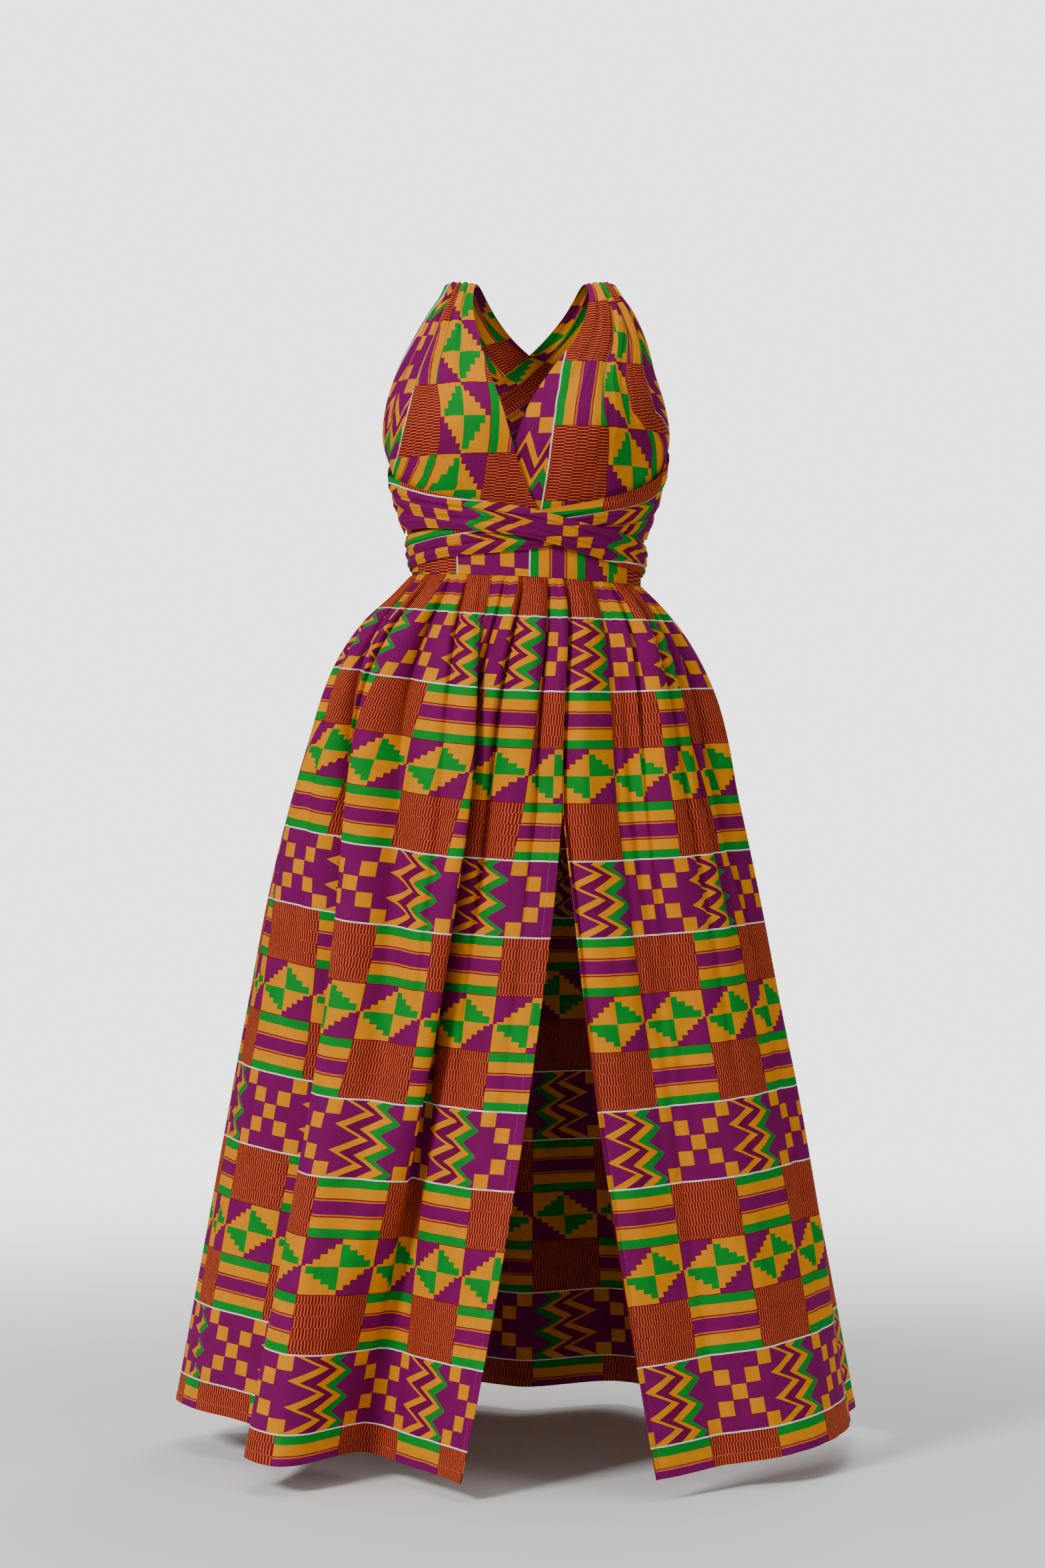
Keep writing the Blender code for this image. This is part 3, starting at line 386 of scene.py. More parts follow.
# Place on the cut for each point: kept on the crests where the skirt is gathered, and lower down shared out
# by true length between anchors; beyond the first anchor of the right front it is the true length itself.
def skirtCloth(points, place, run, anchors, free=False, fade=(0.22, 0.60)):
    gathered = clothAlong(points, gatherTurns(place[0]), place)
    lengths = rowLengths(points)
    spread = np.empty_like(place)
    for row in range(len(place)):
        at = np.interp(anchors, place[row], lengths[row])
        values = np.array(anchors, float)
        if free:
            values[0] = values[1] - (at[1] - at[0])
        spread[row] = np.interp(lengths[row], at, values)
    share = smooth((run - fade[0]) / (fade[1] - fade[0]))
    return gathered * (1 - share) + spread * share


# Runs of the rows: closer together at the waist, with pairs of rows at the stitch line and the turned edge.
def skirtRuns():
    part = np.linspace(0, 1, skirt["rows"] + 1)
    runs = skirt["run"] * (0.35 * part + 0.65 * part ** 2)
    turned = skirt["run"] - skirt["hem"]
    runs = runs[(runs < turned - 0.004) | (runs > turned + 0.004)]
    extra = turned + np.array([-0.0025, -0.0008, 0, 0.0008, 0.0025])
    return np.sort(np.concatenate([runs, extra, [skirt["run"] - 0.0006]]))


# Places of the columns: even, with extra ones at the turned edges of the slit.
def skirtPlaces(first, last):
    places = np.linspace(first, last, round((last - first) / skirt["columnPitch"]) + 1)
    for edge, way in ((0.0, 1), (skirt["cut"], -1)):
        if edge in (first, last):
            turned = edge + way * skirt["hem"]
            places = places[(np.abs(places - turned) > 0.004)]
            places = np.concatenate([places, turned + np.array([-0.002, -0.0007, 0, 0.0007, 0.002])])
    return np.sort(places)


# One panel: the skirt's surface between two places, raised by the turned hem and grooved along its
# stitches, with a thin gap at each seam. anchors, fade and extra say how its print is spread.
def skirtPanel(name, node, first, last, anchors, shift, free=False, fade=(0.22, 0.60), extra=(0.0, 0.0)):
    run, place = np.meshgrid(skirtRuns(), skirtPlaces(first, last), indexing="ij")
    points = skirtPoints(place, run)
    normals = gridNormals(points)
    across = skirtCloth(points, place, run, anchors, free, fade) + shift
    across = across + extra[0] * (place - extra[1]) * (1 - smooth(run / skirt["extraRun"]))
    toHem = skirt["run"] - run
    toSlit = np.minimum(place, skirt["cut"] - place) + 10 * (run < skirt["slitRun"])
    toEdge = np.minimum(toHem, toSlit)
    turned = smooth((skirt["hem"] + 0.0005 - toEdge) / 0.001)
    groove = skirt["groove"] * np.exp(-((toEdge - skirt["hem"]) / skirt["grooveWidth"]) ** 2)
    points = points + normals * (skirt["hemRise"] * turned - groove)[..., None]
    wall = cloth["wall"] + (skirt["hemWall"] - cloth["wall"]) * turned
    points[0, :, 2] -= cloth["seam"]
    for column, way in ((0, 1), (-1, -1)):
        step = skirtPoints(place + way * cloth["seam"], run) - skirtPoints(place, run)
        step = unit(step[:, column])
        points[:, column] += step * cloth["seam"] / 2
        if last == skirt["leftSeam"] and column == -1:
            mouth = (run[:, 0] - pocket["mouth"][0]) / (pocket["mouth"][1] - pocket["mouth"][0])
            points[:, column] += step * pocket["part"] * np.sin(np.pi * np.clip(mouth, 0, 1))[:, None]
    pull = skirt["pull"] * np.exp(-run / skirt["pullRun"]) * crimpWave(place)
    pull = pull * (1 + 0.6 * uneven(place * 21.0, 0.3))
    thing = clothWall(name, node, points, normals, across, run + skirt["printDown"] + pull, wall)
    row = int(np.argmin(np.abs(run[:, 0] - (skirt["run"] - skirt["hem"]))))
    sewn = [stitches(name + "HemStitches", points[row], normals[row])]
    start = int(np.searchsorted(run[:, 0], skirt["slitRun"]))
    for edge, way in ((0.0, 1), (skirt["cut"], -1)):
        if edge in (first, last):
            column = int(np.argmin(np.abs(place[0] - (edge + way * skirt["hem"]))))
            line = (slice(start, row), column)
            sewn.append(stitches(name + "SlitStitches", points[line], normals[line]))
    return [thing] + sewn


# Pocket bag, flat and inside the skirt, with its mouth in the left side seam

pocket = {"mouth": (0.065, 0.225), "part": 0.0022, "wall": 0.0016, "depth": 0.018, "gap": 0.0012,
          "angle": 96.0, "sweep": 32.0, "turn": 0.4, "rise": 0.012, "corner": 0.040, "drop": 0.085,
          "grid": (40, 34)}


# Flat bag: it leaves the seam at its mouth and turns smoothly to a curve inside the skirt; its outline is a
# rounded bulge below and a low one above.
def pocketBag():
    down, across = [np.linspace(0, 1, count + 1) for count in pocket["grid"]]
    down, across = np.meshgrid(down, across, indexing="ij")
    rounded = np.sqrt(np.clip(1 - (2 * across - 1) ** 2, 0, 1))
    top = pocket["mouth"][0] - pocket["rise"] * rounded
    bottom = pocket["mouth"][1] - pocket["corner"] * across + pocket["drop"] * rounded
    run = top + (bottom - top) * down
    level = np.linspace(0.0, 0.4, 60)[:, None]
    place = np.full_like(level, skirt["leftSeam"])
    wide = np.concatenate([place - 0.004, place, place + 0.004], axis=1)
    line = skirtPoints(wide, level + 0 * wide)
    seam = line[:, 1] - gridNormals(line)[:, 1] * (cloth["wall"] + pocket["gap"])
    seam = np.stack([np.interp(run[:, :1], level[:, 0], seam[:, axis]) for axis in range(3)], axis=-1)
    section, outward = skirtSection(pocket["angle"] - pocket["sweep"] * across, run)
    hung = section - outward * pocket["depth"]
    share = smooth(across / pocket["turn"])[..., None]
    points = seam * (1 - share) + hung * share
    normals = gridNormals(points)
    normals = normals * np.sign(np.sum(normals * outward, axis=-1, keepdims=True))
    thing = clothWall("pocketBag", "pocket_bag", points, normals, rowLengths(points), run, pocket["wall"])
    return thing


# General figure under the straps and the waistband, by the run down from the ridge of the shoulders

figure = {
    "run":   (0.000, 0.020, 0.045, 0.075, 0.115, 0.160, 0.205, 0.245, 0.285, 0.325, 0.370, 0.420, 0.450),
    "drop":  (0.000, 0.005, 0.019, 0.041, 0.074, 0.114, 0.156, 0.195, 0.235, 0.275, 0.320, 0.370, 0.400),
    "side":  (0.126, 0.128, 0.132, 0.140, 0.153, 0.165, 0.175, 0.177, 0.168, 0.156, 0.145, 0.141, 0.143),
    "front": (0.000, 0.019, 0.040, 0.059, 0.078, 0.096, 0.110, 0.116, 0.112, 0.107, 0.105, 0.106, 0.108),
    "back":  (0.000, 0.019, 0.040, 0.060, 0.078, 0.091, 0.099, 0.100, 0.097, 0.094, 0.094, 0.096, 0.098),
    "arch": 0.05, "bustReach": 0.028, "bustPlace": (0.085, -0.190), "bustSpread": 0.062,
}


# Point of the figure; the run is positive in front and negative behind the ridge.
def figurePoint(angle, run):
    runs = np.array(figure["run"])
    both = np.concatenate([-runs[:0:-1], runs])
    drop = np.concatenate([figure["drop"][:0:-1], figure["drop"]])
    side = np.concatenate([figure["side"][:0:-1], figure["side"]])
    depth = np.concatenate([-np.array(figure["back"][:0:-1]), figure["front"]])
    turn = np.radians(angle)
    x = through(both, side, run) * np.sin(turn)
    z = -through(both, drop, run)
    y = -through(both, depth, run) * np.cos(turn)
    apart = (np.abs(x) - figure["bustPlace"][0]) ** 2 + (z - figure["bustPlace"][1]) ** 2
    reach = figure["bustReach"] * np.exp(-apart / figure["bustSpread"] ** 2)
    return np.stack([x, y - reach * np.cos(turn) * np.clip(run / figure["arch"], 0, 1), z], axis=-1)


# Outward direction: the step down crossed with the step across.
def figureOutward(angle, run):
    across = figurePoint(angle + 0.2, run) - figurePoint(angle - 0.2, run)
    down = figurePoint(angle, run + 0.0004) - figurePoint(angle, run - 0.0004)
    return unit(np.cross(down, across))


# Straps and wraps. Each row gives angle and run of the near and the far edge, their lifts, the height of
# the pleats and the place of both edges on the print

rightPanel = (
    (8, 0.35, -76, 0.35, 0.006, 0.002, 0.0018, 0.09, 0.225),
    (3, 0.325, -77, 0.325, 0.0062, 0.0022, 0.002, 0.098, 0.24),
    (-3, 0.285, -77, 0.285, 0.0062, 0.0026, 0.0018, 0.12, 0.3),
    (-7, 0.245, -82, 0.245, 0.0052, 0.003, 0.0014, 0.138, 0.36),
    (-10.8, 0.205, -80, 0.205, 0.0042, 0.003, 0.0012, 0.15, 0.385),
    (-16.5, 0.16, -75, 0.16, 0.0032, 0.003, 0.0018, 0.159, 0.41),
    (-22, 0.115, -66, 0.115, 0.0026, 0.0028, 0.0026, 0.172, 0.42),
    (-27.5, 0.075, -60, 0.075, 0.0024, 0.0026, 0.0032, 0.18, 0.425),
    (-30, 0.04, -54, 0.04, 0.0022, 0.0024, 0.0032, 0.185, 0.43),
    (-29.5, 0.00002, -52.5, 0.00002, 0.0022, 0.0022, 0.0028, 0.185, 0.43),
)
leftPanel = (
    (-12, 0.35, 80, 0.35, 0.0015, 0.002, 0.0018, 0.345, 0.165),
    (-9.6, 0.325, 80, 0.325, 0.0015, 0.0022, 0.002, 0.344, 0.16),
    (-6.3, 0.285, 80, 0.285, 0.0015, 0.0024, 0.0018, 0.343, 0.135),
    (-3.4, 0.245, 81, 0.245, 0.0015, 0.0028, 0.0014, 0.341, 0.106),
    (1.8, 0.205, 76, 0.205, 0.0017, 0.0028, 0.0012, 0.33, 0.04),
    (11.2, 0.16, 72, 0.16, 0.002, 0.0028, 0.0018, 0.3095, -0.004),
    (23.5, 0.115, 74, 0.115, 0.0022, 0.0026, 0.0026, 0.287, -0.004),
    (31.5, 0.075, 73, 0.075, 0.0022, 0.0024, 0.0032, 0.27, -0.004),
    (36, 0.04, 64, 0.04, 0.0022, 0.0022, 0.0032, 0.262, -0.004),
    (34.8, 0.00002, 59, 0.00002, 0.0022, 0.0022, 0.0028, 0.262, -0.004),
)
rightStrap = (
    (-29.5, -0.00002, -52.5, -0.00002, 0.0022, 0.0022, 0.0024, 0.185, 0.43),
    (-20, -0.05, -46, -0.06, 0.0044, 0.0036, 0.0026, 0.19, 0.428),
    (-6, -0.1, -35, -0.128, 0.008, 0.007, 0.0026, 0.205, 0.422),
    (12, -0.145, -14, -0.203, 0.0084, 0.0084, 0.0026, 0.222, 0.413),
    (33, -0.185, 12, -0.256, 0.0074, 0.008, 0.0026, 0.236, 0.404),
    (55, -0.218, 40, -0.3, 0.0048, 0.0052, 0.0026, 0.246, 0.398),
    (74, -0.246, 67, -0.342, 0.0036, 0.0038, 0.0028, 0.253, 0.393),
    (89.995, -0.262, 89.995, -0.365, 0.004, 0.004, 0.0028, 0.258, 0.39),
)
leftStrap = (
    (34.8, -0.00002, 59, -0.00002, 0.0022, 0.0022, 0.0024, 0.262, -0.004),
    (24, -0.05, 51, -0.06, 0.0024, 0.0024, 0.0026, 0.25, -0.002),
    (8, -0.1, 38, -0.128, 0.0024, 0.0024, 0.0026, 0.225, 0.002),
    (-11, -0.15, 16, -0.203, 0.0024, 0.0024, 0.0026, 0.195, 0.007),
    (-32, -0.195, -11, -0.256, 0.0024, 0.0024, 0.0026, 0.165, 0.012),
    (-54, -0.232, -40, -0.298, 0.0028, 0.003, 0.0028, 0.14, 0.016),
    (-73, -0.264, -67, -0.334, 0.0032, 0.0034, 0.0028, 0.118, 0.019),
    (-89.995, -0.282, -89.995, -0.358, 0.004, 0.004, 0.0028, 0.1, 0.02),
)
# Wraps: one angle for both edges, and their depths below the origin in place of the runs
overWrap = (
    (-89.995, 0.232, 0.308, 0.004, 0.004, 0.0028, 0.1, 0.02),
    (-81, 0.236, 0.307, 0.0066, 0.0066, 0.0028, 0.1, 0.028),
    (-68, 0.242, 0.305, 0.0092, 0.0092, 0.0028, 0.099, 0.034),
    (-45, 0.26, 0.306, 0.0106, 0.0116, 0.003, 0.097, 0.042),
    (-22, 0.272, 0.313, 0.0156, 0.0146, 0.003, 0.093, 0.044),
    (0, 0.284, 0.321, 0.0196, 0.0156, 0.003, 0.082, 0.036),
    (30, 0.304, 0.341, 0.0181, 0.0081, 0.003, 0.055, 0.008),
    (60, 0.318, 0.356, 0.0116, 0.0042, 0.0028, 0.04, -0.01),
    (89.995, 0.33, 0.363, 0.005, 0.0038, 0.0026, 0.03, -0.014),
)
underWrap = (
    (-89.995, 0.313, 0.355, 0.004, 0.0038, 0.0026, -0.02, 0.036),
    (-60, 0.309, 0.348, 0.0042, 0.004, 0.0028, -0.018, 0.036),
    (-45, 0.306, 0.343, 0.0056, 0.0042, 0.0028, -0.015, 0.034),
    (-22, 0.3, 0.34, 0.0102, 0.0044, 0.0028, -0.013, 0.032),
    (0, 0.29, 0.336, 0.0122, 0.0048, 0.0028, -0.015, 0.036),
    (30, 0.273, 0.326, 0.0106, 0.0058, 0.0028, -0.022, 0.048),
    (60, 0.25, 0.322, 0.0092, 0.0052, 0.0028, -0.032, 0.082),
    (75, 0.228, 0.318, 0.0088, 0.0056, 0.0028, -0.036, 0.09),
    (89.995, 0.212, 0.315, 0.004, 0.004, 0.0028, -0.04, 0.092),
)
overWrapBack = overWrap[-1:] + (
    (60, 0.326, 0.361, 0.0046, 0.0038, 0.0028, 0.03, -0.014),
    (30, 0.312, 0.352, 0.0046, 0.004, 0.003, 0.03, -0.014),
    (1.5, 0.298, 0.34, 0.0048, 0.0042, 0.003, 0.03, -0.014),
)
underWrapBack = underWrap[:1] + (
    (-60, 0.317, 0.357, 0.0046, 0.0038, 0.0028, -0.02, 0.036),
    (-30, 0.308, 0.35, 0.0046, 0.004, 0.003, -0.02, 0.036),
    (-1.5, 0.298, 0.34, 0.0048, 0.0042, 0.003, -0.02, 0.036),
)
strips = {
    "wander": 0.03, "fine": 0.0008, "creaseReach": 0.8,
    "panel": {"grid": (170, 150), "pleats": 5, "crown": 0.0, "held": "gathered"},
    "strap": {"grid": (120, 110), "pleats": 4, "crown": 0.0, "held": "gathered"},
    "wrap": {"grid": (240, 64), "pleats": 3, "crown": 0.0012, "held": "draped"},
    "backWrap": {"grid": (100, 56), "pleats": 3, "crown": 0.0012, "held": "draped"},
}


# Lengthwise pleats: the root of a raised cosine, faded out towards the edges of the strip.
def pleatWave(part, count):
    edge = np.clip(np.minimum(part, 1 - part) * 4, 0, 1)
    return edge * np.sqrt(0.5 - 0.5 * np.cos(2 * np.pi * count * part) + 0.02)


# Soft folds on the straps: shares across and along where each starts and ends, half width across, height
rightCreases = (
    (0.1, 0.22, 0.3, 0.62, 0.05, 0.0011), (0.34, 0.16, 0.42, 0.52, 0.045, -0.001),
    (0.62, 0.12, 0.52, 0.6, 0.06, 0.0012), (0.86, 0.2, 0.66, 0.55, 0.05, 0.0012),
    (0.94, 0.34, 0.74, 0.66, 0.04, -0.0009), (0.2, 0.45, 0.36, 0.88, 0.04, 0.001),
)
leftCreases = (
    (0.14, 0.18, 0.26, 0.56, 0.045, 0.0011), (0.3, 0.14, 0.48, 0.58, 0.05, 0.0013),
    (0.5, 0.12, 0.62, 0.5, 0.05, -0.001), (0.74, 0.16, 0.7, 0.6, 0.06, 0.0012),
    (0.92, 0.24, 0.78, 0.58, 0.045, 0.0011), (0.22, 0.5, 0.34, 0.9, 0.04, -0.0009),
)


# Strip on the figure between two edges, each a smooth curve through the rows of the table. Angle, run and
# lift are shared out evenly between them; the pleats wander a little, and finer ones lie between them.
def strip(rows, kind, turn, creases):
    grid, pleats = kind["grid"], kind["pleats"]
    columns = tableColumns(rows, grid[0])
    nearAngle, nearRun, farAngle, farRun, nearLift, farLift, pleat, near, far = columns
    part = np.linspace(0, 1, grid[1] + 1)[None, :] + 0 * nearRun
    angle = nearAngle * (1 - part) + farAngle * part
    run = nearRun * (1 - part) + farRun * part
    along = np.linspace(0, 1, grid[0] + 1)[:, None]
    bell = np.sin(np.pi * part)
    moved = part + strips["wander"] * bell * uneven(along * 1.3 + part * 0.8, turn)
    lift = nearLift * (1 - part) + farLift * part + kind["crown"] * 4 * part * (1 - part)
    lift = lift + pleat * pleatWave(moved, pleats) * (1 + 0.25 * uneven(along * 1.1 + moved * 2.3, turn + 3))
    lift = lift + strips["fine"] * bell * uneven(moved * pleats * 1.6 + 0.5 * along, turn + 5)
    lift = lift + bell * softFolds(creases, part, along, strips["creaseReach"])
    outward = figureOutward(angle, run)
    points = figurePoint(angle, run) + outward * lift[..., None]
    return points, outward, part, moved * pleats - 0.5, near, far


alongEnds = {}  # place on the print at the end of each strip, so that the next one goes on from it


# Strip with its print. Across it the cloth runs from the near place to the far one. Along it, it is the
# true length from start, stretched a little where an end is given, so that the print meets that of the next
# strip.
def stripPiece(name, node, kind, rows, start, turn, hides=0.0, creases=(), way=-1, end=None):
    kind = strips[kind]
    points, outward, part, turns, near, far = strip(rows, kind, turn, creases)
    lengths = rowLengths(points)
    hidden = np.abs(far - near) - lengths[:, -1:]
    amount = lengths + hidden * np.clip((part - hides) / (1 - hides), 0, 1)
    across = near + np.sign(far - near) * clothAlong(points, turns[len(turns) // 2], amount)
    lengths = rowLengths(np.swapaxes(points, 0, 1)).mean(axis=0)
    reach = way * lengths[-1]
    if end is not None:
        repeat = 2 * printed["block"]
        reach = end - start + round((start + reach - end) / repeat) * repeat
    along = (start + reach * lengths / lengths[-1])[:, None]
    alongEnds[name] = along[-1, 0]
    thing = clothWall(name, node, points, outward, along, across)
    return thing


# Rows of a wrap with runs in place of depths; behind the figure the runs are negative.
def wrapRows(rows, behind=False):
    way, arch = (-1 if behind else 1), figure["arch"]
    return [(angle, way * (top + arch), angle, way * (bottom + arch)) + tuple(others)
            for angle, top, bottom, *others in rows]


# Waistband

band = {"top": 0.300, "lift": 0.0015, "wall": 0.0012, "columns": 420, "rows": 26, "edge": 0.004,
        "roll": 0.0004, "puckers": 92, "pucker": 0.0002, "printAcross": 0.004, "printDown": 0.028,
        "printShare": 0.92}


# Closed ring that starts at the back, level above and along the tilted waist seam below, with a soft roll
# near each edge and shallow puckers where the skirt's gathers pull on it.
def waistband():
    angle = np.linspace(180, 540, band["columns"] + 1)[None, :]
    behind = np.cos(np.radians(angle)) < 0
    turned = np.where(behind, 180 - angle, angle)
    side = through(figure["run"], figure["side"], figure["arch"] - skirt["waistHeight"])
    low = -skirt["waistHeight"] - skirt["waistTilt"] * side * np.sin(np.radians(angle))
    top = band["top"] + cloth["seam"]
    depth = top + (low - top) * np.linspace(0, 1, band["rows"])[:, None]
    run = np.where(behind, -1.0, 1.0) * (depth + figure["arch"])
    turned = turned + 0 * run
    outward = figureOutward(turned, run)
    toEdge = np.minimum(depth - top, low - depth)
    roll = band["roll"] * np.exp(-((toEdge - band["edge"]) / 0.0012) ** 2)
    pucker = band["pucker"] * np.exp(-(low - depth) / 0.010) * np.cos(np.radians(band["puckers"] * angle))
    points = figurePoint(turned, run) + outward * (band["lift"] - roll + pucker)[..., None]
    lengths = rowLengths(points)
    across = band["printAcross"] - lengths + lengths[:, band["columns"] // 2, None]
    down = band["printDown"] + band["printShare"] * (depth - top)[:, ::-1]  # stretched on the deeper side
    thing = clothWall("waistBand", "waistband", points[:, :-1], outward[:, :-1], down, across, band["wall"],
                      closed=True)
    return thing


# Knot and tails at the back of the waist

knotForm = {"height": -0.319, "size": (0.031, 0.016, 0.026), "folds": 5, "foldDepth": 0.10, "askew": 0.035,
            "grid": (60, 120), "gap": 0.0003, "print": (0.1395, 0.127), "printSize": (0.15, 0.034)}
tailRows = (  # drop, centre, half width, how far off the skirt, height of the pleats
    (0, 0.010, 0.009, 0.0235, 0.0010),
    (0.020, 0.013, 0.013, 0.0180, 0.0020),
    (0.050, 0.019, 0.019, 0.0145, 0.0030),
    (0.090, 0.026, 0.023, 0.0130, 0.0036),
    (0.140, 0.034, 0.027, 0.0130, 0.0040),
    (0.190, 0.040, 0.030, 0.0130, 0.0042),
)
tailForm = {"split": 0.0012, "pleats": 3, "grid": (70, 60), "cloth": 0.14, "print": (0.03, 0.1)}


# How far back the plain figure, or the plain skirt below the waist, stands at a height.
def backDepth(height):
    rows = [row for row, drop in enumerate(figure["drop"]) if 0.2 < drop < -skirt["waistHeight"]]
    drops = [figure["drop"][row] for row in rows]
    drops += [drop - skirt["waistHeight"] for drop in skirtProfile["backDrop"]]
    depths = [figure["back"][row] for row in rows] + list(skirtProfile["back"])
    return np.interp(-height, drops, depths)


# The knot: an egg shape drawn in by soft folds across it, and finer ones that run askew. Its print
# closes on the side towards the wraps.
def knot():
    rise, turn = np.meshgrid(np.linspace(-90, 90, knotForm["grid"][0] + 1)[1:-1],
                             np.linspace(-90, 270, knotForm["grid"][1], endpoint=False), indexing="ij")
    rise, turn = np.radians(rise), np.radians(turn)
    fold = 1 - knotForm["foldDepth"] * (0.5 + 0.5 * np.cos(knotForm["folds"] * rise * 2)) * np.cos(rise)
    askew = np.sin(7 * rise + 1.6 * np.sin(turn) + 0.8 * np.sin(2 * turn + 1))
    fold = fold - knotForm["askew"] * (0.5 + 0.5 * askew) * np.cos(rise)
    sizeX, sizeY, sizeZ = knotForm["size"]
    height, end = knotForm["height"], overWrapBack[-1]
    crest = (end[3] + end[4]) / 2 + end[5] + strips["wrap"]["crown"]
    middle = backDepth(height) + crest + sizeY * (1 - knotForm["foldDepth"]) + knotForm["gap"]
    x = sizeX * np.cos(rise) * np.cos(turn) * fold
    y = sizeY * np.cos(rise) * np.sin(turn) * fold + middle
    rings = np.stack([x, y, sizeZ * np.sin(rise) + height], axis=-1)
    poles = [(0, middle, height - sizeZ), (0, middle, height + sizeZ)]
    points = np.concatenate([rings.reshape(-1, 3), poles])
    rows, columns = x.shape
    index = np.arange(rows * columns).reshape(rows, columns)
    index = np.concatenate([index, index[:, :1]], axis=1)
    share, level = np.meshgrid(np.linspace(-0.5, 0.5, columns + 1), rise[:, 0])
    chart = [knotForm["print"][0] + knotForm["printSize"][0] * share,
             knotForm["print"][1] + knotForm["printSize"][1] * level + 0.006 * np.sin(9 * share)]
    chart = np.stack(chart, axis=-1).reshape(-1, 2)

    def faces(grid, low, high):
        sides = np.stack([grid[:-1, :-1], grid[:-1, 1:], grid[1:, 1:], grid[1:, :-1]], axis=-1).reshape(-1, 4)
        return (sides.tolist() + [(low, b, a) for a, b in zip(grid[0], grid[0, 1:])]
                + [(high, a, b) for a, b in zip(grid[-1], grid[-1, 1:])])

    corners = faces(np.arange(len(chart)).reshape(index.shape), columns // 2, len(chart) - columns // 2)
    return meshObject("tiedKnot", points, faces(index, rows * columns, rows * columns + 1), "knot",
                      chart[[corner for face in corners for corner in face]])


# One tail: in lengthwise pleats, wider and further out as it drops, and off the skirt as the table says.
def tail(name, node, way):
    drop, centre, halfWidth, off, pleat = tableColumns(tailRows, tailForm["grid"][0])
    part = np.linspace(0, 1, tailForm["grid"][1] + 1)[None, :]
    inner = np.maximum(centre - halfWidth, tailForm["split"] / 2)
    x = way * (inner + 2 * halfWidth * part)
    under = knotForm["size"][2] * np.sqrt(1 - (x[:1] / knotForm["size"][0]) ** 2)
    z = knotForm["height"] - under - knotForm["gap"] - drop
    y = backDepth(z) + off + pleat * pleatWave(part, tailForm["pleats"])
    points = np.stack([x, y, z], axis=-1)
    normals = gridNormals(points)
    normals = normals * np.sign(normals[..., 1:2])
    turns = (part * tailForm["pleats"] - 0.5)[0]
    across = clothAlong(points, turns, tailForm["cloth"] * part + 0 * z) + tailForm["print"][0] * way
    thing = clothWall(name, node, points, normals, across, tailForm["print"][1] * way + drop + 0 * z)
    return thing


# The print

printed = {
    "block": 0.093, "repeatDown": 0.298, "rows": (0.0, 0.092, 0.162, 0.228, 0.298), "line": 0.0009,
    "dashPitch": 0.003875, "dashLength": 0.0135, "dashShare": 0.34, "roughEnds": 0.004, "roughScale": 420.0,
    "cross": (0.0204, 0.0184), "wobble": 0.0005, "wobbleScale": 55.0, "shade": (0.90, 1.06),
    "shadeScale": 38.0,
}
weave = {"pitch": 0.0008, "strength": 0.22, "depth": 0.0002, "noiseScale": 900.0}
dyes = {
    "yellow": (0.73, 0.255, 0.0, 1), "green": (0.0, 0.245, 0.025, 1), "purple": (0.185, 0.002, 0.095, 1),
    "darkPurple": (0.155, 0.002, 0.062, 1), "maroon": (0.180, 0.006, 0.010, 1),
    "salmon": (0.62, 0.135, 0.030, 1), "white": (0.86, 0.78, 0.70, 1), "sage": (0.10, 0.15, 0.07, 1),
}
stripeBands = ((0.00, "green"), (0.16, "yellow"), (0.34, "maroon"), (0.36, "salmon"), (0.39, "purple"),
               (0.61, "salmon"), (0.64, "maroon"), (0.66, "yellow"), (0.84, "green"))
# Bands of the zigzag: where each begins, how far its teeth reach, how far down they are moved, how round
# they are, dye and outline
zigzagBands = (
    (0.0980, 0.0360, -0.0015, 0.04, "yellow", "maroon"),
    (0.1125, 0.0345, 0.0010, 0.04, "darkPurple", "maroon"),
    (0.1317, 0.0285, 0.0035, 0.04, "yellow", "maroon"),
    (0.1450, 0.0305, 0.0060, 0.04, "green", "maroon"),
    (0.1610, 0.0250, 0.0085, 0.30, "purple", "sage"),
)


# Node with its inputs filled: each takes a constant or a link from a socket.
def filled(node, inputs):
    for place, value in inputs.items():
        if isinstance(value, bpy.types.NodeSocket):
            node.id_data.links.new(value, node.inputs[place])
        else:
            node.inputs[place].default_value = value
    return node


def newNode(tree, kind, inputs):
    return filled(tree.nodes.new("ShaderNode" + kind), inputs)


# Method that adds a Math node.
def mathMethod(operation):
    return lambda value, *others: value.node(operation, *others)


# Number in a shader. Arithmetic on it adds Math nodes; a comparison gives a mask, and | the larger of two.
class Value:
    def __init__(self, socket):
        self.socket = socket

    def node(self, operation, *others):
        values = [value.socket if isinstance(value, Value) else value for value in (self,) + others]
        node = newNode(self.socket.id_data, "Math", dict(enumerate(values)))
        node.operation = operation
        return Value(node.outputs[0])

    __add__, __sub__, __mul__ = mathMethod("ADD"), mathMethod("SUBTRACT"), mathMethod("MULTIPLY")
    __truediv__, __mod__, __or__ = mathMethod("DIVIDE"), mathMethod("FLOORED_MODULO"), mathMethod("MAXIMUM")
    __gt__, __lt__, __abs__ = mathMethod("GREATER_THAN"), mathMethod("LESS_THAN"), mathMethod("ABSOLUTE")


# The first colour, or the second where the mask is one.
def painted(mask, below, above):
    below, above = [dyes[colour] if isinstance(colour, str) else colour for colour in (below, above)]
    node = newNode(mask.socket.id_data, "Mix", {0: mask.socket, 6: below, 7: above})
    node.data_type = "RGBA"
    return node.outputs[2]


# Soft noise over a vector.
def noise(vector, scale, detail=2.0):
    return newNode(vector.id_data, "TexNoise", {"Vector": vector, "Scale": scale, "Detail": detail}).outputs


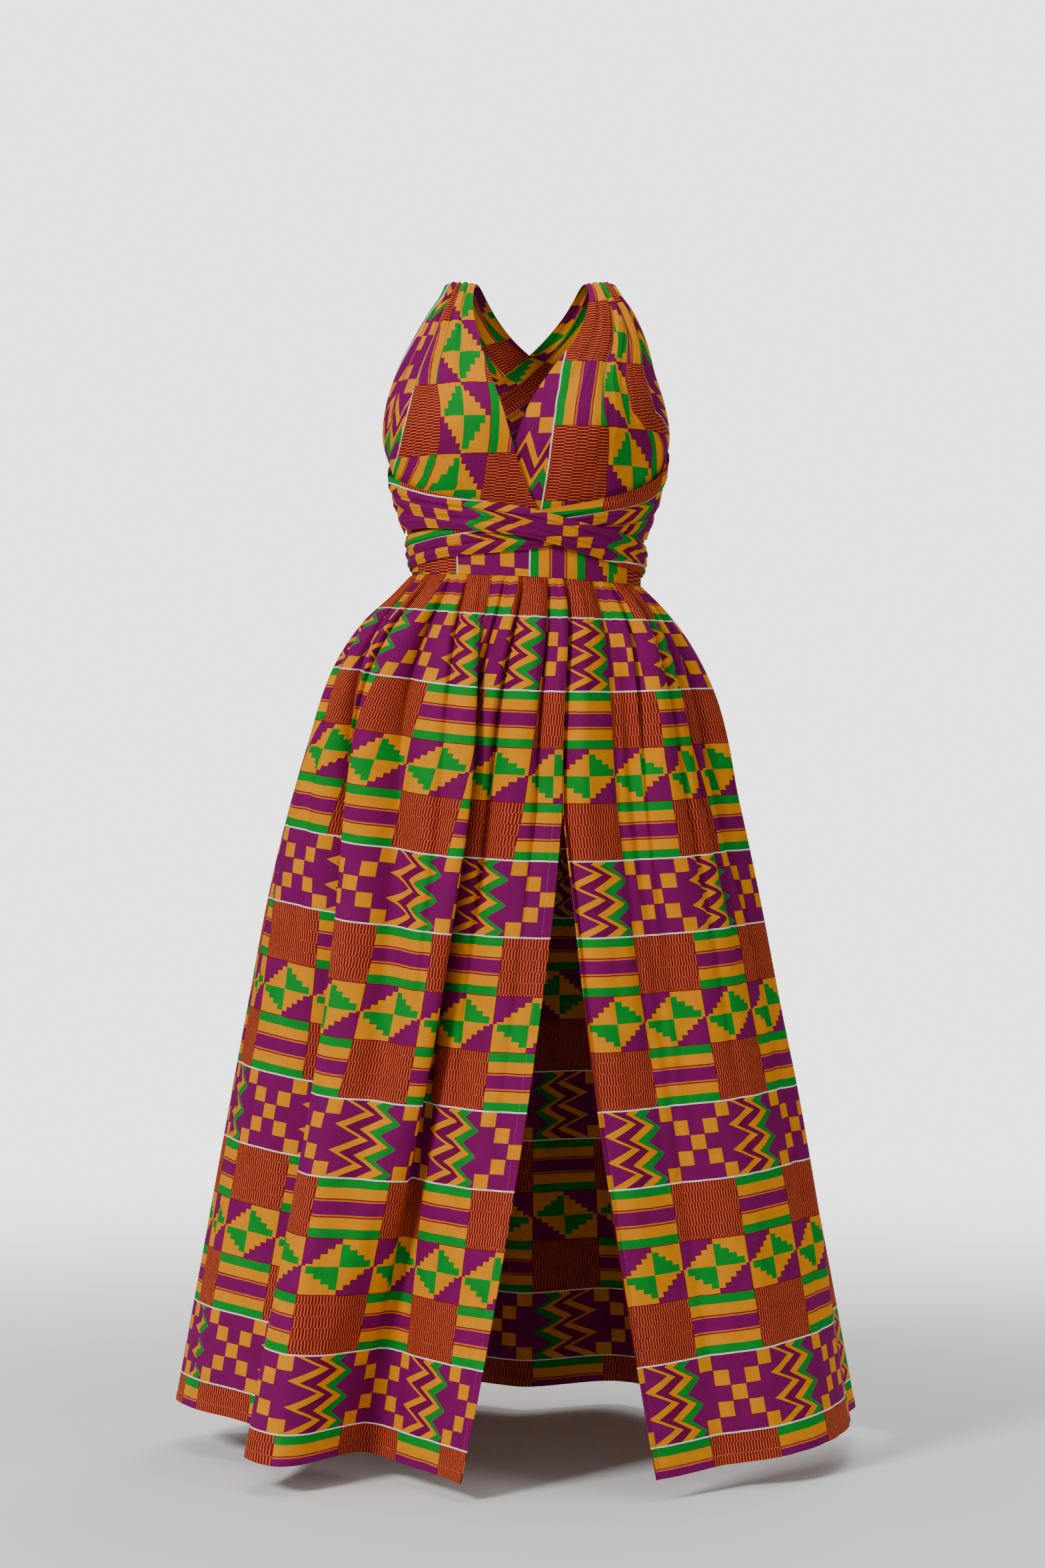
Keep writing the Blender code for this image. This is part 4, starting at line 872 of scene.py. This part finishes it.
# New shader group: its tree, the place on the cloth that goes in, that place's two parts, and what goes out.
def clothGroup(name, output, kind):
    tree = bpy.data.node_groups.new(name, "ShaderNodeTree")
    tree.interface.new_socket("Place", in_out="INPUT", socket_type="NodeSocketVector")
    tree.interface.new_socket(output, in_out="OUTPUT", socket_type=kind)
    place = tree.nodes.new("NodeGroupInput").outputs[0]
    parts = [Value(socket) for socket in newNode(tree, "SeparateXYZ", {0: place}).outputs[:2]]
    return tree, place, parts, tree.nodes.new("NodeGroupOutput").inputs[0]


# Stepped diamond: in two quarters yellow round green, in the other two purple round yellow.
def diamond(x, y):
    fromMiddleX, fromMiddleY = abs(x - 0.5) * 2.0, abs(y - 0.5) * 2.0

    def steps(width, outline=0.0):
        stair = ((fromMiddleX - outline) / width).node("FLOOR")
        return fromMiddleY < stair * -0.18 + (0.80 + 1.4 * outline)

    outlined = painted(steps(0.18, 0.016), "purple", "maroon")
    greenPart = steps(0.22) * (fromMiddleX < 0.88)
    return painted(abs((x > 0.5) - (y > 0.5)), painted(steps(0.18), outlined, "yellow"),
                   painted(greenPart, "yellow", "green"))


# Cross of squares, five by five, and beside it a zigzag of three teeth: each of its borders is a triangle
# wave down the cloth.
def crossAndZigzag(across, y):
    wide, tall = printed["cross"]
    column, row = (across / wide).node("FLOOR"), (y / tall).node("FLOOR")
    square = (column + row).node("COMPARE", 4.0, 0.1) | column.node("COMPARE", row, 0.1)
    square = square * (across < 5 * wide)
    colour = painted(square, "purple", "maroon")
    for value, size in ((across, wide), (y, tall)):
        square = square * (abs(value % size - size / 2) < (size - printed["line"]) / 2)
    colour = painted(square, colour, "yellow")
    for start, reach, shift, rounding, dye, outline in zigzagBands:
        tooth = ((y - shift) / (printed["rows"][1] / 3)).node("PINGPONG", 0.5) * 2.0
        border = tooth.node("SMOOTH_MIN", 1.0, rounding) * reach + start
        colour = painted(across > border - printed["line"], colour, outline)
        colour = painted(across > border, colour, dye)
    return colour


# Shader group: place on the cloth in metres in, colour of the print out. Two blocks across and four rows
# down make the repeat, and each row and column has its own figure.
def printGroup():
    tree, place, parts, result = clothGroup("kentePrint", "Color", "NodeSocketColor")
    shift = newNode(tree, "SeparateColor", {0: noise(place, printed["wobbleScale"])["Color"]})
    movedX, movedY = [part + (Value(socket) - 0.5) * (2 * printed["wobble"])
                      for part, socket in zip(parts, shift.outputs)]
    block, repeat, edges, line = printed["block"], printed["repeatDown"], printed["rows"], printed["line"]
    across, y = movedX % (2 * block), movedY % repeat
    second = across > block
    inBlock = across - second * block
    limits = zip((-1.0,) + edges[1:4], edges[1:4] + (9.0,))
    rowD, rowA, rowB, rowC = [(y > low) - (y > high) for low, high in limits]
    partA, partB, partC = [(y - low) / (high - low) for low, high in zip(edges[1:4], edges[2:])]

    stripe = newNode(tree, "ValToRGB", {0: (partA * rowA + partC * rowC).socket})
    stripe.color_ramp.interpolation = "CONSTANT"
    stops = stripe.color_ramp.elements
    while len(stops) < len(stripeBands):
        stops.new(1.0)
    for stop, (start, dye) in zip(stops, stripeBands):
        stop.position, stop.color = start, dyes[dye]

    # Dashes: thin lines down the cloth in rows, each row half a pitch over, with rough ends
    ends = movedY + Value(noise(place, printed["roughScale"])["Fac"]) * printed["roughEnds"]
    dashRow = (ends / printed["dashLength"]).node("FLOOR")
    pitch = movedX / printed["dashPitch"] + dashRow * 0.5
    hatch = painted(pitch.node("FRACT") > printed["dashShare"], "salmon", "maroon")

    colour = painted(rowA * second | rowC * (second < 0.5), hatch, stripe.outputs[0])
    colour = painted(rowB, colour, diamond(inBlock / block, partB))
    thin = line * 0.6
    borders = abs(inBlock - block / 2) > block / 2 - thin
    for edge in edges[2:4]:
        borders = borders | (abs(y - edge) < thin)
    colour = painted(borders, colour, "maroon")
    colour = painted(rowD, colour, crossAndZigzag(across, y))
    colour = painted((abs(y - edges[1]) < line) | (abs(y - repeat / 2) > repeat / 2 - line), colour, "white")

    low, high = printed["shade"]
    shade = newNode(tree, "MapRange", {"Value": noise(place, printed["shadeScale"], 4.0)["Fac"],
                                       "From Min": 0.3, "From Max": 0.7, "To Min": low, "To Max": high})
    tint = newNode(tree, "HueSaturation", {"Value": shade.outputs[0], "Color": colour})
    tree.links.new(tint.outputs[0], result)
    return tree


# Shader group: place on the cloth in, normal of the weave out; warp and weft threads cross over and under.
def weaveGroup():
    tree, place, parts, result = clothGroup("plainWeave", "Normal", "NodeSocketVector")
    warp, weft = [(part * (2 * math.pi / weave["pitch"])).node("SINE") for part in parts]
    height = warp * weft + Value(noise(place, weave["noiseScale"])["Fac"])
    bump = newNode(tree, "Bump", {"Strength": weave["strength"], "Distance": weave["depth"],
                                  "Height": height.socket})
    tree.links.new(bump.outputs[0], result)
    return tree


# Material with its own constants on the Principled shader.
def plainMaterial(name, roughness, specular, colour=(1, 1, 1, 1)):
    material = bpy.data.materials.new(name)
    material.use_nodes = True
    shader = material.node_tree.nodes["Principled BSDF"]
    filled(shader, {"Base Color": colour, "Roughness": roughness, "Specular IOR Level": specular})
    return material, material.node_tree, shader


# Cotton with the print and the weave, both by the place on the cloth.
def clothMaterial():
    material, tree, shader = plainMaterial("kenteCotton", 0.78, 0.08)
    place = newNode(tree, "UVMap", {})
    place.uv_map = "cloth"
    for group, socket in ((printGroup(), "Base Color"), (weaveGroup(), "Normal")):
        node = newNode(tree, "Group", {})
        node.node_tree = group
        filled(node, {0: place.outputs[0]})
        filled(shader, {socket: node.outputs[0]})
    return material


# All pieces

left, right, cut = skirt["leftSeam"], skirt["rightSeam"], skirt["cut"]
sewn = skirtPanel("skirtFrontLeft", "skirt_front_left", 0.0, left, (0.0, left), 0.093, extra=(0.08, 0.0))
sewn += skirtPanel("skirtBack", "skirt_back", left, right, (left, 0.86, 1.30, right), 0.05)
anchors = (right, 1.853, 1.885, 2.119, 2.204, cut)
sewn += skirtPanel("skirtFrontRight", "skirt_front_right", right, cut, anchors, -2.281, free=True,
                   fade=(0.15, 0.45), extra=(0.24, cut))
print("skirt", len(sewn))
bag = pocketBag()
bandRing = waistband()
print("pocket and waistband")

# Place along the print where each wrap starts at the wearer's right; the straps and back wraps go on from
# the pieces before them in this list
overStart, underStart = 0.339, -0.025
panels = [
    stripPiece("bodiceRight", "bodice_right", "panel", rightPanel, 0.088, 0.3, hides=0.40,
               creases=rightCreases),
    stripPiece("bodiceLeft", "bodice_left", "panel", leftPanel, 0.211, 1.4, hides=0.35,
               creases=leftCreases),
    stripPiece("wrapFrontOver", "wrap_front_over", "wrap", wrapRows(overWrap), overStart, 0.9),
    stripPiece("wrapFrontUnder", "wrap_front_under", "wrap", wrapRows(underWrap), underStart, 1.9,
               way=1),
    stripPiece("backStrapRight", "back_strap_right", "strap", rightStrap, alongEnds["bodiceRight"], 2.2,
               end=alongEnds["wrapFrontUnder"]),
    stripPiece("backStrapLeft", "back_strap_left", "strap", leftStrap, alongEnds["bodiceLeft"], 2.9,
               end=overStart),
    stripPiece("wrapBackOver", "wrap_back_over", "backWrap", wrapRows(overWrapBack, True),
               alongEnds["wrapFrontOver"], 2.5),
    stripPiece("wrapBackUnder", "wrap_back_under", "backWrap", wrapRows(underWrapBack, True), underStart, 3.1),
]
print("straps and wraps", len(panels))
ends = [knot(), tail("tailLeft", "tail_left", 1), tail("tailRight", "tail_right", -1)]
print("knot and tails")

kente, thread = clothMaterial(), plainMaterial("thread", 0.6, 0.5, (0.46, 0.17, 0.20, 1))[0]
for thing in sewn + [bag, bandRing] + panels + ends:
    thing.data.materials.append(thread if "Stitches" in thing.name else kente)
print("materials")


# Floor, light and camera

studio = {"floor": -1.449, "distance": 4.2, "horizon": -0.62, "across": -0.0049, "lens": 77.44, "half": 3.6,
          "fade": (0.6, 3.2), "backdrop": 2.6, "ambient": 0.22}


# Pale sheet that fades into the background away from the middle.
def floorMaterial():
    material, tree, shader = plainMaterial("floor", 0.9, 0.1, (0.94, 0.94, 0.94, 1))
    far = newNode(tree, "VectorMath", {0: newNode(tree, "TexCoord", {}).outputs["Object"]})
    far.operation = "LENGTH"
    near, edge = studio["fade"]
    fade = newNode(tree, "MapRange", {"Value": far.outputs["Value"], "From Min": near, "From Max": edge})
    fade.interpolation_type = "SMOOTHSTEP"
    clear = newNode(tree, "BsdfTransparent", {})
    mixed = newNode(tree, "MixShader", {0: fade.outputs[0], 1: shader.outputs[0], 2: clear.outputs[0]})
    filled(tree.nodes["Material Output"], {"Surface": mixed.outputs[0]})
    return material


# Square sheet below the hem.
def floor():
    half = studio["half"]
    mesh = bpy.data.meshes.new("floor")
    corners = [(-half, -half, 0), (half, -half, 0), (half, half, 0), (-half, half, 0)]
    mesh.from_pydata(corners, [], [(0, 1, 2, 3)])
    mesh.materials.append(floorMaterial())
    thing = newObject("floor", mesh)
    thing.location.z = studio["floor"]


# Square lamp that shines on a point.
def light(name, place, aim, size, power):
    lamp = bpy.data.lights.new(name, "AREA")
    lamp.shape, lamp.size, lamp.energy = "SQUARE", size, power
    thing = newObject(name, lamp)
    thing.location = place
    thing.rotation_euler = (Vector(aim) - Vector(place)).to_track_quat("-Z", "Y").to_euler()


floor()
light("keyLight", (-3.0, -3.2, 1.8), (0, 0, -0.6), 1.1, 200)
light("fillLight", (3.4, -2.6, 0.2), (0, 0, -0.8), 1.8, 40)
light("topLight", (0.0, 0.4, 2.8), (0, 0, -0.6), 2.4, 64)
light("backLight", (1.2, 3.6, 1.2), (0, 0, -0.7), 2.0, 55)
world = bpy.data.worlds.new("studio")
world.use_nodes = True
rays = newNode(world.node_tree, "LightPath", {})
seen = Value(rays.outputs["Is Camera Ray"]) * studio["backdrop"] + studio["ambient"]
filled(world.node_tree.nodes["Background"], {0: (1.0, 1.0, 1.0, 1), 1: seen.socket})
bpy.context.scene.world = world

lens = bpy.data.cameras.new("camera")
lens.lens, lens.sensor_width, lens.sensor_fit = studio["lens"], 36.0, "AUTO"
camera = newObject("camera", lens)
camera.location = (studio["across"], -studio["distance"], studio["horizon"])
camera.rotation_euler = (math.radians(90), 0, 0)
bpy.context.scene.camera = camera
